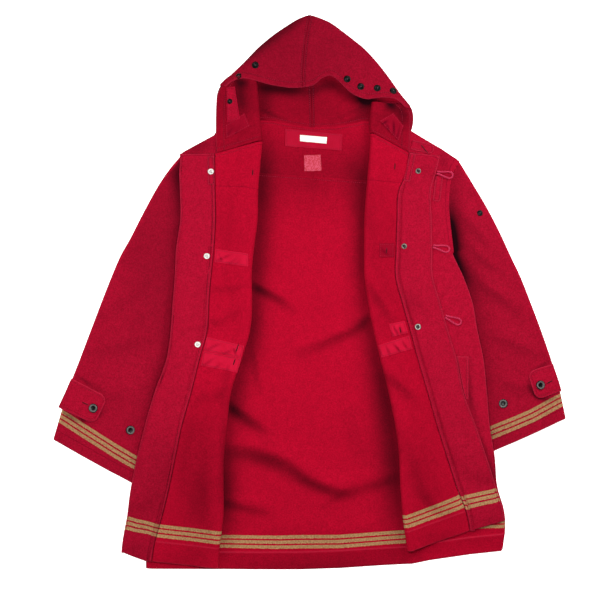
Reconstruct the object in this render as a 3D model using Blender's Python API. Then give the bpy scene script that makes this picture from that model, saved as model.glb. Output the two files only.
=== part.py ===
"""Duffle coat laid open on its back, in wool melton.

Frame: metres, +Z up, the coat rests on z = 0 with the hood towards +Y. The numbers below are millimetres.
Left and right are as seen from above. Each front is one sheet: outside-up from the side seam in to a
fold, then turned back inside-up to the band seam. The tables hold one row for each station or stop.
"""

import math
from collections import namedtuple

import bpy
import numpy as np
from mathutils import Vector
from mathutils.bvhtree import BVHTree

MM = 0.001  # the sizes below are in millimetres, Blender's scene is in metres

# ---------------------------------------------------------------- driving sizes
CLOTH = 2.6  # wall of the melton
SEAM = 0.3  # clearance between neighbouring pieces
CURVED_SEAM = 1.0  # the same along a curve, whose straight pieces differ on the two sides
BAND_CLOTH = 3.8  # doubled cloth of the button bands
SLEEVE_HOLLOW = 1.8  # air left inside a flattened sleeve
SLEEVE_HEIGHT = 2 * CLOTH + SLEEVE_HOLLOW
FOLD_DEPTH = 8.0  # how far a fold's roll reaches past its flat layers
FOLD_LOFT = 3.6  # extra height that thick cloth keeps beside a fold
FOLD_LOFT_REACH = 34.0  # where that height has died away
BODY_ROWS = 19  # rows of faces from the yoke seam to the front hem
CENTRE_COLUMNS = 11  # columns of faces across the back, from fold to fold
NECK_STEP = 1.2  # the upper layer has one row fewer, so its first two rows lie this near each other
LOWER_STOPS = [1.0, 4 / 3, 5 / 3, 2.0, 2.5, 3.0]  # columns of a front, from beside the fold outwards
ROW_LOWER, ROW_UPPER, ROW_YOKE = 1, 2, 4  # rows of the grid that the body's layers share
ROW_FRONT_HEM = ROW_YOKE + BODY_ROWS
ROW_BACK_HEM = ROW_FRONT_HEM + 1

SLEEVE_RISE_START = 62.0  # the body climbs onto a sleeve from here ...
SLEEVE_RISE_END = 28.0  # ... to here, both measured outside the sleeve's edge
ARMHOLE_LOW = 116.0  # the climb is complete below this height on the body ...
ARMHOLE_HIGH = 156.0  # ... and has not begun above this one
ARMHOLE_SKEW = 0.7  # under 1, the armhole is most hollow near the shoulder
ARMHOLE_SEAM = 1.7  # clearance along the armhole, the tightest curve
DROOP = 30.0  # a band that overhangs the side seam comes down within this reach

# ---------------------------------------------------------------- the body in plan
# Across places of the named lines at each station up the body.
Station = namedtuple("Station", "y fold band edge side")
LEFT_STATIONS = (
    Station(330, -91, -186, -257, -247),
    Station(274, -96, -189, -257, -250),
    Station(240, -99, -189, -260, -253),
    Station(204, -102, -188, -259, -251),
    Station(146, -103, -187, -258, -253),
    Station(82, -111, -191, -267, -244),
    Station(30, -115, -196, -269, -252),
    Station(-20, -114, -200, -273, -263),
    Station(-76, -118, -203, -277, -272),
    Station(-132, -134, -218, -285, -280),
    Station(-200, -156, -235, -309, -299),
    Station(-276, -165, -256, -331, -317),
    Station(-324, -170, -266, -343, -323),
    Station(-392, -171, -280, -357, -325),
    Station(-442, -171, -292, -364, -326),
    Station(-518, -180, -312, -376, -327),
    Station(-560, -183, -316, -376, -327),
)
RIGHT_STATIONS = (
    Station(330, 121, 202, 262, 295),
    Station(274, 119, 198, 261, 293),
    Station(240, 116, 194, 253, 283),
    Station(204, 113, 178, 243, 277),
    Station(146, 109, 174, 244, 281),
    Station(82, 108, 172, 245, 284),
    Station(30, 109, 171, 246, 307),
    Station(-20, 116, 184, 260, 325),
    Station(-76, 127, 200, 276, 335),
    Station(-132, 140, 215, 293, 347),
    Station(-200, 157, 235, 307, 354),
    Station(-276, 172, 257, 335, 361),
    Station(-324, 178, 272, 351, 369),
    Station(-392, 181, 294, 373, 376),
    Station(-442, 185, 313, 387, 390),
    Station(-480, 190, 320, 388, 391),
    Station(-518, 195, 321, 383, 386),
    Station(-560, 196, 322, 382, 385),
)

# Heights of the crosswise lines at each stop: the neck or shoulder edge of the back, of a front's lower
# layer and of its upper layer, the yoke seam, and the two hems.
Border = namedtuple("Border", "stop back lower upper yoke front_hem back_hem")
LEFT_BORDERS = (
    Border("fold", 341, 300.4, 299.6, 237, -552, -554.5),
    Border("band", 318.2, 323.7, 276.0, 238, -539, -554),
    Border("side", 276.3, 275.6, 274.6, 239, -538, -553),
    Border("edge", 275.5, 275.0, 273.6, 240, -522, -552),
)
RIGHT_BORDERS = (
    Border("fold", 340, 316.2, 315.4, 222, -518, -542),
    Border("band", 318.2, 322.8, 278.0, 222, -478, -525),
    Border("edge", 287.0, 286.2, 271.6, 223, -458, -518.5),
    Border("side", 262.8, 262.0, 260.0, 224, -457, -514),
)

# Soft folds in the cloth, each a ridge from one point to the other.
Ridge = namedtuple("Ridge", "x0 y0 x1 y1 width height")
BACK_RIDGES = (
    Ridge(-110, 14, -36, -34, 17, 3.4),
    Ridge(108, -66, -20, -124, 19, 3.2),
    Ridge(-150, -230, -84, -286, 18, 3.6),
    Ridge(-112, -326, 6, -368, 20, 2.8),
    Ridge(88, -210, 120, -330, 22, 2.4),
)
FRONT_RIDGES = (
    Ridge(-150, -34, -196, -58, 16, 2.6),
    Ridge(-162, -196, -214, -168, 18, 3.0),
    Ridge(-196, -330, -232, -262, 20, 2.6),
    Ridge(124, 118, 166, 152, 15, 2.2),
    Ridge(150, -150, 196, -196, 18, 2.6),
    Ridge(196, -300, 236, -372, 20, 2.8),
)
SLEEVE_RIDGES = (
    Ridge(-300, 150, -352, 76, 18, 3.4),
    Ridge(-330, 10, -404, -36, 17, 3.0),
    Ridge(-352, -120, -444, -150, 18, 2.4),
    Ridge(322, 150, 372, 92, 18, 3.2),
    Ridge(356, 6, 430, -30, 17, 3.0),
    Ridge(384, -104, 470, -126, 18, 2.4),
)

# ---------------------------------------------------------------- sleeves
# Each ring is a flattened tube between the outer and the inner edge; bow curves it, as at the armhole.
Ring = namedtuple("Ring", "outer_x outer_y inner_x inner_y bow")
LEFT_SLEEVE = (
    Ring(-257, 270, -243, 84, 6),
    Ring(-278, 245, -240, 46, 2),
    Ring(-303, 208, -228, 4, 0),
    Ring(-333, 153, -215, -36, 0),
    Ring(-357, 106, -213, -66, 0),
    Ring(-379, 66, -219, -102, 0),
    Ring(-407, -2, -235, -152, 0),
    Ring(-433, -70, -257, -206, 0),
    Ring(-458, -136, -283, -262, 0),
    Ring(-483, -202, -315, -318, 0),
    Ring(-511, -296, -348, -386, 0),
)
RIGHT_SLEEVE = (
    Ring(297, 261, 286, 80, -15),
    Ring(321, 222, 284, 40, -5),
    Ring(353, 168, 268, 0, 0),
    Ring(378, 120, 254, -36, 0),
    Ring(403, 66, 243, -68, 0),
    Ring(421, 28, 249, -100, 0),
    Ring(443, -28, 263, -146, 0),
    Ring(461, -76, 277, -188, 0),
    Ring(483, -140, 299, -246, 0),
    Ring(499, -198, 321, -292, 0),
    Ring(511, -254, 347, -328, 0),
)
SLEEVE_STEPS = 2  # faces between two rings of the table
SLEEVE_ACROSS = 6  # faces across each wall of a sleeve

# ---------------------------------------------------------------- hood
# One row for each line that runs from the neck seam up to the crown's edge and back down to the mouth.
# lift is the height of the open mouth under the crown there, bow bends the line on the crown.
Rib = namedtuple("Rib", "neck_x neck_y top_x top_y mouth_x mouth_y lift bow")
LEFT_HOOD = (
    Rib(5, 328, 0, 554, -14, 407, 15, -4),
    Rib(-19, 331, -23, 545, -33, 406, 15, -3),
    Rib(-47, 336, -49, 529, -53, 408, 14, -2),
    Rib(-75, 342, -76, 510, -80, 413, 13, 0),
    Rib(-103, 342, -103, 487, -105, 420, 12, 0),
    Rib(-131, 338, -129, 460, -127, 425, 11, 0),
    Rib(-157, 328, -154, 436, -149, 422, 9, 0),
    Rib(-184, 319, -173, 417, -167, 410, 7, 0),
)
RIGHT_HOOD = (
    Rib(5, 328, 0, 554, -14, 407, 15, -4),
    Rib(25, 329, 21, 547, 7, 411, 15, -3),
    Rib(47, 329, 43, 537, 26, 426, 15, -2),
    Rib(67, 332, 65, 521, 44, 430, 14, -1),
    Rib(89, 336, 87, 504, 62, 416, 13, 0),
    Rib(111, 341, 109, 486, 83, 396, 13, 0),
    Rib(135, 336, 135, 458, 112, 384, 12, 0),
    Rib(159, 331, 159, 427, 143, 387, 11, 0),
    Rib(183, 325, 181, 396, 172, 384, 9, 0),
    Rib(204, 319, 201, 372, 191, 368, 7, 0),
)
# The hood's sides, turned back with the fronts: the outline, the fold and the free edge.
Flap = namedtuple("Flap", "side_x side_y fold_x fold_y edge_x edge_y")
LEFT_FLAP = (
    Flap(-185, 325.0, -95, 301.0, -186, 277.0),
    Flap(-182, 344, -96, 328, -186, 308),
    Flap(-184, 370, -99, 356, -186, 344),
    Flap(-185, 390, -101, 382, -185, 376),
    Flap(-181, 404, -103, 402, -180, 400),
)
RIGHT_FLAP = (
    Flap(205, 324.2, 119, 317.0, 199, 279.0),
    Flap(207, 334, 119, 334, 200, 306),
    Flap(208, 346, 120, 350, 201, 334),
    Flap(205, 360, 122, 366, 200, 356),
)
FLAP_ROOT = 10.0  # the turned-back side starts this far inside the hood's outline
HOOD_GAP = 1.5  # air between the hood's two layers along the crown's edge
HOOD_ROLL = 6.0  # how far the crown's roll reaches past its flat layers
HOOD_STEPS = (6, 5)  # faces along a rib's lower and upper layer
MOUTH_EXTRA = 1.6  # the hemmed mouth edge is this much thicker
FLAP_LOW, FLAP_THIN = 0.5, 1.6  # the root of the turned-back side lies inside the hood's wall

# ---------------------------------------------------------------- trims
Tape = namedtuple("Tape", "name x0 y0 x1 y1 x2 y2 x3 y3")
TAPES = (  # corners clockwise from the upper left
    Tape("tape_left_upper", -188, 86, -122, 76, -122, 50, -190, 59),
    Tape("tape_left_middle", -205, -90, -137, -106, -143, -131, -211, -117),
    Tape("tape_left_lower", -211, -117.4, -143, -131.4, -150, -160, -217, -147),
    Tape("tape_right_upper", 139, 97, 169, 97, 169, 69, 139, 69),
    Tape("tape_right_middle", 158, -64, 190, -58, 197, -82, 165, -90),
    Tape("tape_right_lower", 144, -107, 199, -87, 206, -114, 151, -132),
)
TAPE_CLOTH = 0.8

Strip = namedtuple("Strip", "name x0 y0 x1 y1 width0 width1 round_end cloth on")
STRIPS = (
    Strip("throat_tab", 204, 294, 248, 284, 19, 20, 9, 2.4, "front_right"),
    Strip("chest_tab", 259.5, 232, 253.5, 181, 15, 15, 4, 2.0, "front_right"),
    Strip("band_tab_left", -197, 270, -196, 214, 13, 13, 0, 1.4, "band_left"),
    Strip("band_tab_right", 207, 271, 196, 222, 12, 12, 0, 1.4, "band_right"),
    Strip("cuff_tab_left", -472, -210, -420, -234, 62, 55, 12, 3.0, "sleeve_left"),
    Strip("cuff_tab_right", 480, -174, 444, -184, 54, 54, 12, 3.0, "sleeve_right"),
)
WELT_TOP, WELT_BOTTOM, WELT_OUTER = -129, -214, 317
WELT_CLOTH = 2.0
LABEL = Tape("label_patch", -49, 326, 66, 315, 65, 282, -49, 291)
LABEL_CLOTH = 1.4
TAG = Tape("label_tag", -19, 313.5, 35, 309, 34, 296, -19, 301)
TAG_CLOTH = 0.7

Stud = namedtuple("Stud", "name x y radius height on kind")
STUDS = (
    Stud("front_snap_left_upper", -197, 240, 6.0, 2.6, ("band_left", "band_tab_left"), "silver"),
    Stud("front_snap_left_middle", -205, 71, 6.0, 2.6, ("band_left",), "silver"),
    Stud("front_snap_left_lower", -223, -105, 6.0, 2.6, ("band_left",), "silver"),
    Stud("front_snap_right_upper", 217, 241, 6.2, 2.6, ("band_right",), "silver"),
    Stud("front_snap_right_middle", 189, 91, 6.2, 2.6, ("band_right",), "silver"),
    Stud("front_snap_right_lower", 216, -70, 6.2, 2.6, ("band_right",), "silver"),
    Stud("hood_snap_1", -108, 452, 6.4, 2.8, ("hood_left",), "black"),
    Stud("hood_snap_2", -141, 430, 6.0, 2.8, ("hood_left",), "black"),
    Stud("hood_snap_3", -159, 380, 5.4, 2.6, ("hood_left",), "black"),
    Stud("hood_snap_4", 75, 424, 6.4, 2.8, ("hood_right",), "black"),
    Stud("hood_snap_5", 102, 409, 6.4, 2.8, ("hood_right",), "black"),
    Stud("hood_snap_6", 135, 406, 6.4, 2.8, ("hood_right",), "black"),
    Stud("hood_snap_7", 167, 401, 6.2, 2.8, ("hood_right",), "black"),
    Stud("sleeve_snap", 340, 157, 6.0, 2.6, ("sleeve_right",), "black"),
    Stud("cuff_button_left", -432, -232, 9.2, 4.2, ("cuff_tab_left",), "horn"),
    Stud("sleeve_button_left", -358, -276, 9.2, 4.2, ("sleeve_left",), "horn"),
    Stud("cuff_button_right", 460, -186, 9.2, 4.2, ("cuff_tab_right",), "horn"),
    Stud("sleeve_button_right", 387, -223, 9.2, 4.2, ("sleeve_right",), "horn"),
)
STUD_SIDES = 12

# Cord loops of the toggles: where they leave the band's edge, and where the loop's tip lies.
Loop = namedtuple("Loop", "name root_x root_y tip_x tip_y")
LOOPS = (
    Loop("toggle_loop_1", 254.6, 238, 286, 232),
    Loop("toggle_loop_2", 246.6, 91, 279, 84),
    Loop("toggle_loop_3", 270.6, -49, 302, -62),
)
CORD = 3.0  # diameter
LOOP_RADIUS = 6.2  # of the cord's centre line round the tip
LOOP_MOUTH = 4.4  # between the two strands where they leave the edge
LOOP_STEPS = 9  # straight pieces in each strand

# ---------------------------------------------------------------- finishes
Finish = namedtuple("Finish", "colour roughness metallic")
FINISHES = {
    "wool": Finish((0.43, 0.004, 0.022), 0.95, 0.0),
    "nylon": Finish((0.52, 0.016, 0.045), 0.45, 0.0),
    "tag": Finish((0.80, 0.78, 0.74), 0.6, 0.0),
    "cord": Finish((0.55, 0.05, 0.09), 0.7, 0.0),
    "silver": Finish((0.62, 0.62, 0.60), 0.3, 1.0),
    "black": Finish((0.012, 0.012, 0.013), 0.35, 0.6),
    "horn": Finish((0.05, 0.055, 0.06), 0.4, 0.0),
}


# ---------------------------------------------------------------- helpers
Row = namedtuple("Row", "at value")


def smooth(t):
    t = min(max(t, 0.0), 1.0)
    return t * t * (3 - 2 * t)


def mix(a, b, t):
    return a + (b - a) * t


def reading(rows, key, column):
    """A smooth function through one column of a table."""
    pairs = sorted((getattr(row, key), getattr(row, column)) for row in rows)
    at = np.array([pair[0] for pair in pairs], float)
    value = np.array([pair[1] for pair in pairs], float)
    slope = np.gradient(value, at)

    def read(where):
        where = min(max(where, at[0]), at[-1])
        i = int(np.clip(np.searchsorted(at, where) - 1, 0, len(at) - 2))
        step = at[i + 1] - at[i]
        t = (where - at[i]) / step
        start = (1 + 2 * t) * (1 - t) ** 2 * value[i] + t * (1 - t) ** 2 * step * slope[i]
        return start + t * t * (3 - 2 * t) * value[i + 1] + t * t * (t - 1) * step * slope[i + 1]

    return read


def ridge_height(ridges, x, y):
    """How far the soft folds lift the cloth at a point."""
    lift = 0.0
    for ridge in ridges:
        ax, ay = ridge.x1 - ridge.x0, ridge.y1 - ridge.y0
        along = ((x - ridge.x0) * ax + (y - ridge.y0) * ay) / (ax * ax + ay * ay)
        near = min(max(along, 0.0), 1.0)
        away = math.hypot(x - ridge.x0 - near * ax, y - ridge.y0 - near * ay)
        lift += ridge.height * math.exp(-((away / ridge.width) ** 2))
    return lift


def outline_distance(outline, x, y):
    """Signed distance to a closed outline, positive inside it."""
    nearest, inside = 1e9, False
    for (ax, ay), (bx, by) in zip(outline, outline[1:] + outline[:1]):
        dx, dy = bx - ax, by - ay
        t = min(max(((x - ax) * dx + (y - ay) * dy) / (dx * dx + dy * dy), 0.0), 1.0)
        nearest = min(nearest, math.hypot(x - ax - t * dx, y - ay - t * dy))
        if (ay > y) != (by > y) and x < ax + (y - ay) / dy * dx:
            inside = not inside
    return nearest if inside else -nearest


class Solid:
    """Points and faces of one piece, in millimetres."""

    def __init__(self):
        self.points = []
        self.faces = []

    def add(self, x, y, z):
        self.points.append((x, y, z))
        return len(self.points) - 1

    def loft(self, loops):
        """Walls between closed loops of equal length, and a cap of quads at each end."""
        rings = [[self.add(*point) for point in loop] for loop in loops]
        count = len(rings[0])
        for low, high in zip(rings, rings[1:]):
            for i in range(count):
                j = (i + 1) % count
                self.faces.append((low[i], low[j], high[j], high[i]))
        return rings

    def strip_cap(self, ring, turn):
        """Closes a ring whose first half lies face to face with its second half."""
        half = len(ring) // 2
        for i in range(half - 1):
            quad = (ring[i], ring[i + 1], ring[-2 - i], ring[-1 - i])
            self.faces.append(quad if turn else quad[::-1])


def sheet(rows, turn=False):
    """A closed solid from rows of (x, y, low z, high z): the cloth's under side and upper side."""
    solid = Solid()
    loops = []
    for row in rows:
        under = [(x, y, low) for x, y, low, high in row]
        upper = [(x, y, high) for x, y, low, high in row]
        loops.append(under + upper[::-1])
    rings = solid.loft(loops)
    solid.strip_cap(rings[0], False)
    solid.strip_cap(rings[-1], True)
    return faces_out(solid)


def folded(rows):
    """A closed solid from rows of (outer points, inner points): a sheet folded over on itself."""
    solid = Solid()
    rings = solid.loft([outer + inner[::-1] for outer, inner in rows])
    solid.strip_cap(rings[0], False)
    solid.strip_cap(rings[-1], True)
    return faces_out(solid)


def faces_out(solid):
    """Turns all faces round if they point inwards."""
    volume = 0.0
    for face in solid.faces:
        a = Vector(solid.points[face[0]])
        for i in range(1, len(face) - 1):
            b, c = Vector(solid.points[face[i]]), Vector(solid.points[face[i + 1]])
            volume += a.dot(b.cross(c))
    if volume < 0:
        solid.faces = [face[::-1] for face in solid.faces]
    return solid


def triangles(solid):
    """Quads split the same way on every piece, so that stacked layers stay parallel."""
    split = []
    for face in solid.faces:
        if len(face) == 3:
            split.append(face)
            continue
        points = [Vector(solid.points[i]) for i in face]
        if (points[0] - points[2]).length <= (points[1] - points[3]).length:
            split += [(face[0], face[1], face[2]), (face[0], face[2], face[3])]
        else:
            split += [(face[0], face[1], face[3]), (face[1], face[2], face[3])]
    return split


# ---------------------------------------------------------------- where things lie
class Sleeve:
    def __init__(self, rings):
        self.rings = rings
        self.read = {}
        for index, name in enumerate(Ring._fields):
            rows = [Row(float(i), float(ring[index])) for i, ring in enumerate(rings)]
            self.read[name] = reading(rows, "at", "value")
        lower = rings[1:]
        self.outline = [(r.outer_x, r.outer_y) for r in lower] + [(r.inner_x, r.inner_y) for r in lower[::-1]]
        armhole = [self.place(0.0, across) for across in self.places(0.0)]
        self.armhole = sorted((y, x) for x, y in armhole)
        self.whole = armhole[::-1] + self.outline

    def edge_share(self, along):
        """The rounded side's share of the width."""
        outer, inner = self.place(along, 0.0), self.place(along, 1.0)
        return SLEEVE_HEIGHT * 0.9 / math.hypot(outer[0] - inner[0], outer[1] - inner[1])

    def places(self, along):
        """Where the faces of a section meet, from 0 at the outer edge to 1 at the inner one."""
        edge = self.edge_share(along)
        return [0.0] + [mix(edge, 1 - edge, i / SLEEVE_ACROSS) for i in range(SLEEVE_ACROSS + 1)] + [1.0]

    def place(self, along, across):
        """A point of the flat sleeve: along in rings, across from 0 at the outer to 1 at the inner edge."""
        outer = self.read["outer_x"](along), self.read["outer_y"](along)
        inner = self.read["inner_x"](along), self.read["inner_y"](along)
        bow = self.read["bow"](along) * math.sin(math.pi * min(max(across, 0.0), 1.0) ** ARMHOLE_SKEW)
        return mix(outer[0], inner[0], across) + bow, mix(outer[1], inner[1], across)

    def carry(self, x, y):
        """How high the sleeve lifts the body that lies over it."""
        away = outline_distance(self.outline, x, y)
        near = smooth((away + SLEEVE_RISE_START) / (SLEEVE_RISE_START - SLEEVE_RISE_END))
        below = smooth((ARMHOLE_HIGH - y) / (ARMHOLE_HIGH - ARMHOLE_LOW))
        return (SLEEVE_HEIGHT + 2 * SEAM) * near * below

    def top(self, x, y):
        """How high cloth lies that falls onto the sleeve or, beyond it, to the floor."""
        away = outline_distance(self.whole, x, y)
        near = smooth((away + SLEEVE_RISE_START) / (SLEEVE_RISE_START - SLEEVE_RISE_END))
        return (SLEEVE_HEIGHT + 2 * SEAM) * near


class Side:
    """One half of the body: its lines in plan, as functions of height and of the stop across."""

    def __init__(self, stations, borders, sleeve):
        self.sign = -1 if stations[0].fold < 0 else 1
        self.sleeve = sleeve
        self.stops = [border.stop for border in borders]  # fold, band, then side and edge in their order
        self.line = {name: reading(stations, "y", name) for name in self.stops}
        self.borders = borders
        self.side_stop = self.stops.index("side") + 1.0
        self.edge_stop = self.stops.index("edge") + 1.0

    def side_x(self, y):
        """The body's side: along the sleeve's armhole, and below it along the side seam."""
        low, high = self.sleeve.armhole[0][0], self.sleeve.armhole[-1][0]
        if y <= low:
            return self.line["side"](y)
        heights = [place[0] for place in self.sleeve.armhole]
        across = [place[1] for place in self.sleeve.armhole]
        return float(np.interp(min(y, high), heights, across)) - self.sign * ARMHOLE_SEAM

    def x(self, stop, y):
        """Stop 0 is the fold, 1 the flat cloth beside it, 2 the band seam, 3 and 4 the last two lines."""
        fold = self.line["fold"](y)
        places = [fold, fold + self.sign * FOLD_DEPTH]
        places += [self.side_x(y) if name == "side" else self.line[name](y) for name in self.stops[1:]]
        i = min(int(stop), 3)
        return mix(places[i], places[i + 1], stop - i)

    def border(self, stop, name):
        values = [getattr(border, name) for border in self.borders]
        values = [values[0]] + values
        i = min(int(stop), 3)
        return mix(values[i], values[i + 1], stop - i)

    def place(self, stop, y):
        return self.x(stop, y), y

    def row_heights(self, stop):
        """Heights of all rows at a stop, from the neck to the back hem."""
        edge = {name: self.border(stop, name) for name in Border._fields[1:]}
        heights = [edge["back"], edge["lower"], edge["upper"], mix(edge["upper"], edge["yoke"], 0.5)]
        for i in range(BODY_ROWS + 1):
            heights.append(mix(edge["yoke"], edge["front_hem"], i / BODY_ROWS))
        return heights + [edge["back_hem"]]


def floor_height(sides, x, y):
    return max(side.sleeve.carry(x, y) for side in sides)


def back_surface(sides, x, y):
    """Under side of the back panel."""
    return floor_height(sides, x, y) + ridge_height(BACK_RIDGES, x, y)


def under_hood(x, y, stop):
    """The back's neck edge follows the hood's, with the seam's clearance."""
    if stop > 2.0:
        return x, y
    neck = [(rib.neck_x, rib.neck_y) for rib in LEFT_HOOD[::-1] + RIGHT_HOOD[1:]]
    return x, float(np.interp(x, [place[0] for place in neck], [place[1] for place in neck])) - CURVED_SEAM


def back_columns(sides):
    """All columns of the back, from the left side seam to the right one, as functions of the row."""
    left, right = sides

    def edge_column(side, stop):
        def place(row):
            x, y = side.place(stop, side.row_heights(stop)[row])
            return under_hood(x, y, stop) if row == 0 else (x, y)
        return place

    def centre_column(t):
        def place(row):
            start = left.place(0.0, left.row_heights(0.0)[row])
            end = right.place(0.0, right.row_heights(0.0)[row])
            x, y = mix(start[0], end[0], t), mix(start[1], end[1], t)
            return under_hood(x, y, 0.0) if row == 0 else (x, y)
        return place

    columns = [edge_column(left, stop) for stop in body_stops(left)[::-1]]
    columns += [centre_column(i / CENTRE_COLUMNS) for i in range(CENTRE_COLUMNS + 1)]
    return columns + [edge_column(right, stop) for stop in body_stops(right)]


def body_stops(side):
    """Stops of the lower layers, from beside the fold to the side seam."""
    return LOWER_STOPS + ([3.5, 4.0] if side.side_stop == 4.0 else [])


def make_back(sides, first_row, last_row, start_shift=0.0):
    """The back between two rows; start_shift lowers the first row to leave the seam's clearance."""
    rows = []
    for row in range(first_row, last_row + 1):
        points = []
        for column in back_columns(sides):
            x, y = column(row)
            if row == first_row:
                y -= start_shift
            low = back_surface(sides, x, y)
            points.append((x, y, low, low + CLOTH))
        rows.append(points)
    return sheet(rows)


def lower_low(sides, x, y):
    return back_surface(sides, x, y) + CLOTH + SEAM


def loft_beside_fold(side, x, y):
    """Thick cloth doesn't lie flat beside its fold."""
    away = abs(x - side.line["fold"](y)) - FOLD_DEPTH
    return FOLD_LOFT * (1 - smooth(away / FOLD_LOFT_REACH))


def upper_low(sides, side, x, y):
    """Under side of a front's upper layer and of its band."""
    low = lower_low(sides, x, y) + CLOTH + SEAM
    return low + loft_beside_fold(side, x, y) + ridge_height(FRONT_RIDGES, x, y)


def roll(centre_x, sign, low_z, high_z, reach, steps):
    """Half an ellipse from (centre, low) round to (centre, high), bulging against sign."""
    points = []
    for i in range(1, steps):
        angle = math.pi * (i / steps - 0.5)
        z = (low_z + high_z) / 2 + (high_z - low_z) / 2 * math.sin(angle)
        points.append((centre_x - sign * reach * math.cos(angle), z))
    return points


def make_front(sides, side):
    """One front: lower layer, fold and upper layer up to the band seam, as one sheet."""
    rows = []
    for row in range(ROW_LOWER, ROW_FRONT_HEM + 1):
        lower, upper = [], []
        for stop in body_stops(side)[::-1]:
            x, y = side.place(stop, side.row_heights(stop)[row])
            low = lower_low(sides, x, y)
            lower.append((x, y, low, low + CLOTH))
        for stop in LOWER_STOPS[:4]:
            heights = side.row_heights(stop)
            y = heights[max(row, ROW_UPPER)] - (NECK_STEP if row == ROW_UPPER else 0.0)
            x = side.x(stop, y)
            low = upper_low(sides, side, x, y)
            upper.append((x, y, low, low + CLOTH))
        x, y, low, high = lower[-1]
        upper_x, upper_y, upper_under, upper_over = upper[0]
        outer_roll = roll(x, side.sign, low, upper_over, FOLD_DEPTH, 6)
        inner_roll = roll(x, side.sign, high, upper_under, FOLD_DEPTH - CLOTH, 6)
        between = [mix(y, upper_y, i / 6) for i in range(1, 6)]
        outer = [(px, py, under) for px, py, under, over in lower]
        outer += [(px, py, pz) for (px, pz), py in zip(outer_roll, between)]
        outer += [(px, py, over) for px, py, under, over in upper]
        inner = [(px, py, over) for px, py, under, over in lower]
        inner += [(px, py, pz) for (px, pz), py in zip(inner_roll, between)]
        inner += [(px, py, under) for px, py, under, over in upper]
        rows.append((outer, inner))
    return folded(rows)


def band_support(sides, side, x, y):
    """Height of what carries a band where it overhangs the side seam."""
    seam_x = side.side_x(y)
    beyond = max((x - seam_x) * side.sign, 0.0)
    ground = side.sleeve.top(x, y)
    if beyond == 0.0:
        return max(upper_low(sides, side, x, y), ground)
    at_seam = upper_low(sides, side, seam_x, y)
    return max(mix(at_seam, ground, smooth(beyond / DROOP)), ground)


def band_stops(side):
    return [2.0, 2.5, 3.0] if side.edge_stop == 3.0 else [2.0, 2.5, 3.0, 3.5, 4.0]


def make_band(sides, side):
    rows = []
    for row in range(ROW_UPPER, ROW_FRONT_HEM + 1):
        points = []
        for stop in band_stops(side):
            x, y = side.place(stop, side.row_heights(stop)[row])
            low = band_support(sides, side, x, y)
            if stop == 2.0:
                x += side.sign * SEAM
            points.append((x, y, low, low + BAND_CLOTH))
        rows.append(points)
    return sheet(rows)


# ---------------------------------------------------------------- sleeves
def sleeve_loop(sleeve, along, inset):
    """One closed section of a flattened sleeve; inset is 0 outside and the cloth's wall inside."""
    height = SLEEVE_HEIGHT - 2 * inset
    edge = sleeve.edge_share(along)
    trim = inset * edge / (SLEEVE_HEIGHT * 0.9)
    places = sleeve.places(along)[1:-1]
    loop = []
    for across in places:
        x, y = sleeve.place(along, across)
        loop.append((x, y, inset))
    for turn in (-0.25, 0.25):
        reach = (edge - trim) * math.cos(math.pi * turn)
        x, y = sleeve.place(along, 1 - edge + reach)
        loop.append((x, y, SLEEVE_HEIGHT / 2 + height / 2 * math.sin(math.pi * turn)))
    for across in places[::-1]:
        x, y = sleeve.place(along, across)
        loop.append((x, y, SLEEVE_HEIGHT - inset + ridge_height(SLEEVE_RIDGES, x, y)))
    for turn in (0.25, -0.25):
        reach = (edge - trim) * math.cos(math.pi * turn)
        x, y = sleeve.place(along, edge - reach)
        loop.append((x, y, SLEEVE_HEIGHT / 2 + height / 2 * math.sin(math.pi * turn)))
    return loop


def make_sleeve(sleeve):
    """A flattened tube, open at the armhole and at the cuff."""
    solid = Solid()
    stations = [i / SLEEVE_STEPS for i in range((len(sleeve.rings) - 1) * SLEEVE_STEPS + 1)]
    outside = solid.loft([sleeve_loop(sleeve, along, 0.0) for along in stations])
    inside = solid.loft([sleeve_loop(sleeve, along, CLOTH) for along in stations])
    walls = len(stations) - 1
    count = len(outside[0])
    solid.faces[walls * count:] = [face[::-1] for face in solid.faces[walls * count:]]
    for wall, shell, turn in ((0, 0, False), (-1, -1, True)):
        for i in range(count):
            j = (i + 1) % count
            quad = (outside[wall][i], outside[wall][j], inside[shell][j], inside[shell][i])
            solid.faces.append(quad if turn else quad[::-1])
    return faces_out(solid)


# ---------------------------------------------------------------- hood
def hood_row(rib, steps_low, steps_high, shift):
    """Outer and inner points of one rib: along the lower layer, round the crown's edge, down to the mouth."""
    neck = Vector((rib.neck_x + shift, rib.neck_y))
    top = Vector((rib.top_x + shift, rib.top_y))
    mouth = Vector((rib.mouth_x + shift, rib.mouth_y))
    away = (top - neck).normalized()
    turn = top - away * HOOD_ROLL
    outer, inner = [], []
    for i in range(steps_low + 1):
        place = neck.lerp(turn, i / steps_low)
        outer.append((*place, 0.0))
        inner.append((*place, CLOTH))
    total = 2 * CLOTH + HOOD_GAP
    for i in range(1, 4):
        angle = math.pi * (i / 4 - 0.5)
        middle = total / 2
        place = turn + away * HOOD_ROLL * math.cos(angle)
        outer.append((*place, middle + middle * math.sin(angle)))
        place = turn + away * (HOOD_ROLL - CLOTH) * math.cos(angle)
        inner.append((*place, middle + HOOD_GAP / 2 * math.sin(angle)))
    for i in range(steps_high + 1):
        t = i / steps_high
        place = turn.lerp(mouth, t)
        place.x += rib.bow * 4 * t * (1 - t)
        gap = mix(HOOD_GAP, rib.lift, smooth(t * 1.15))
        thick = CLOTH + MOUTH_EXTRA * smooth((t - 0.7) / 0.3)
        inner.append((*place, CLOTH + gap))
        outer.append((*place, CLOTH + gap + thick))
    return outer, inner


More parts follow.
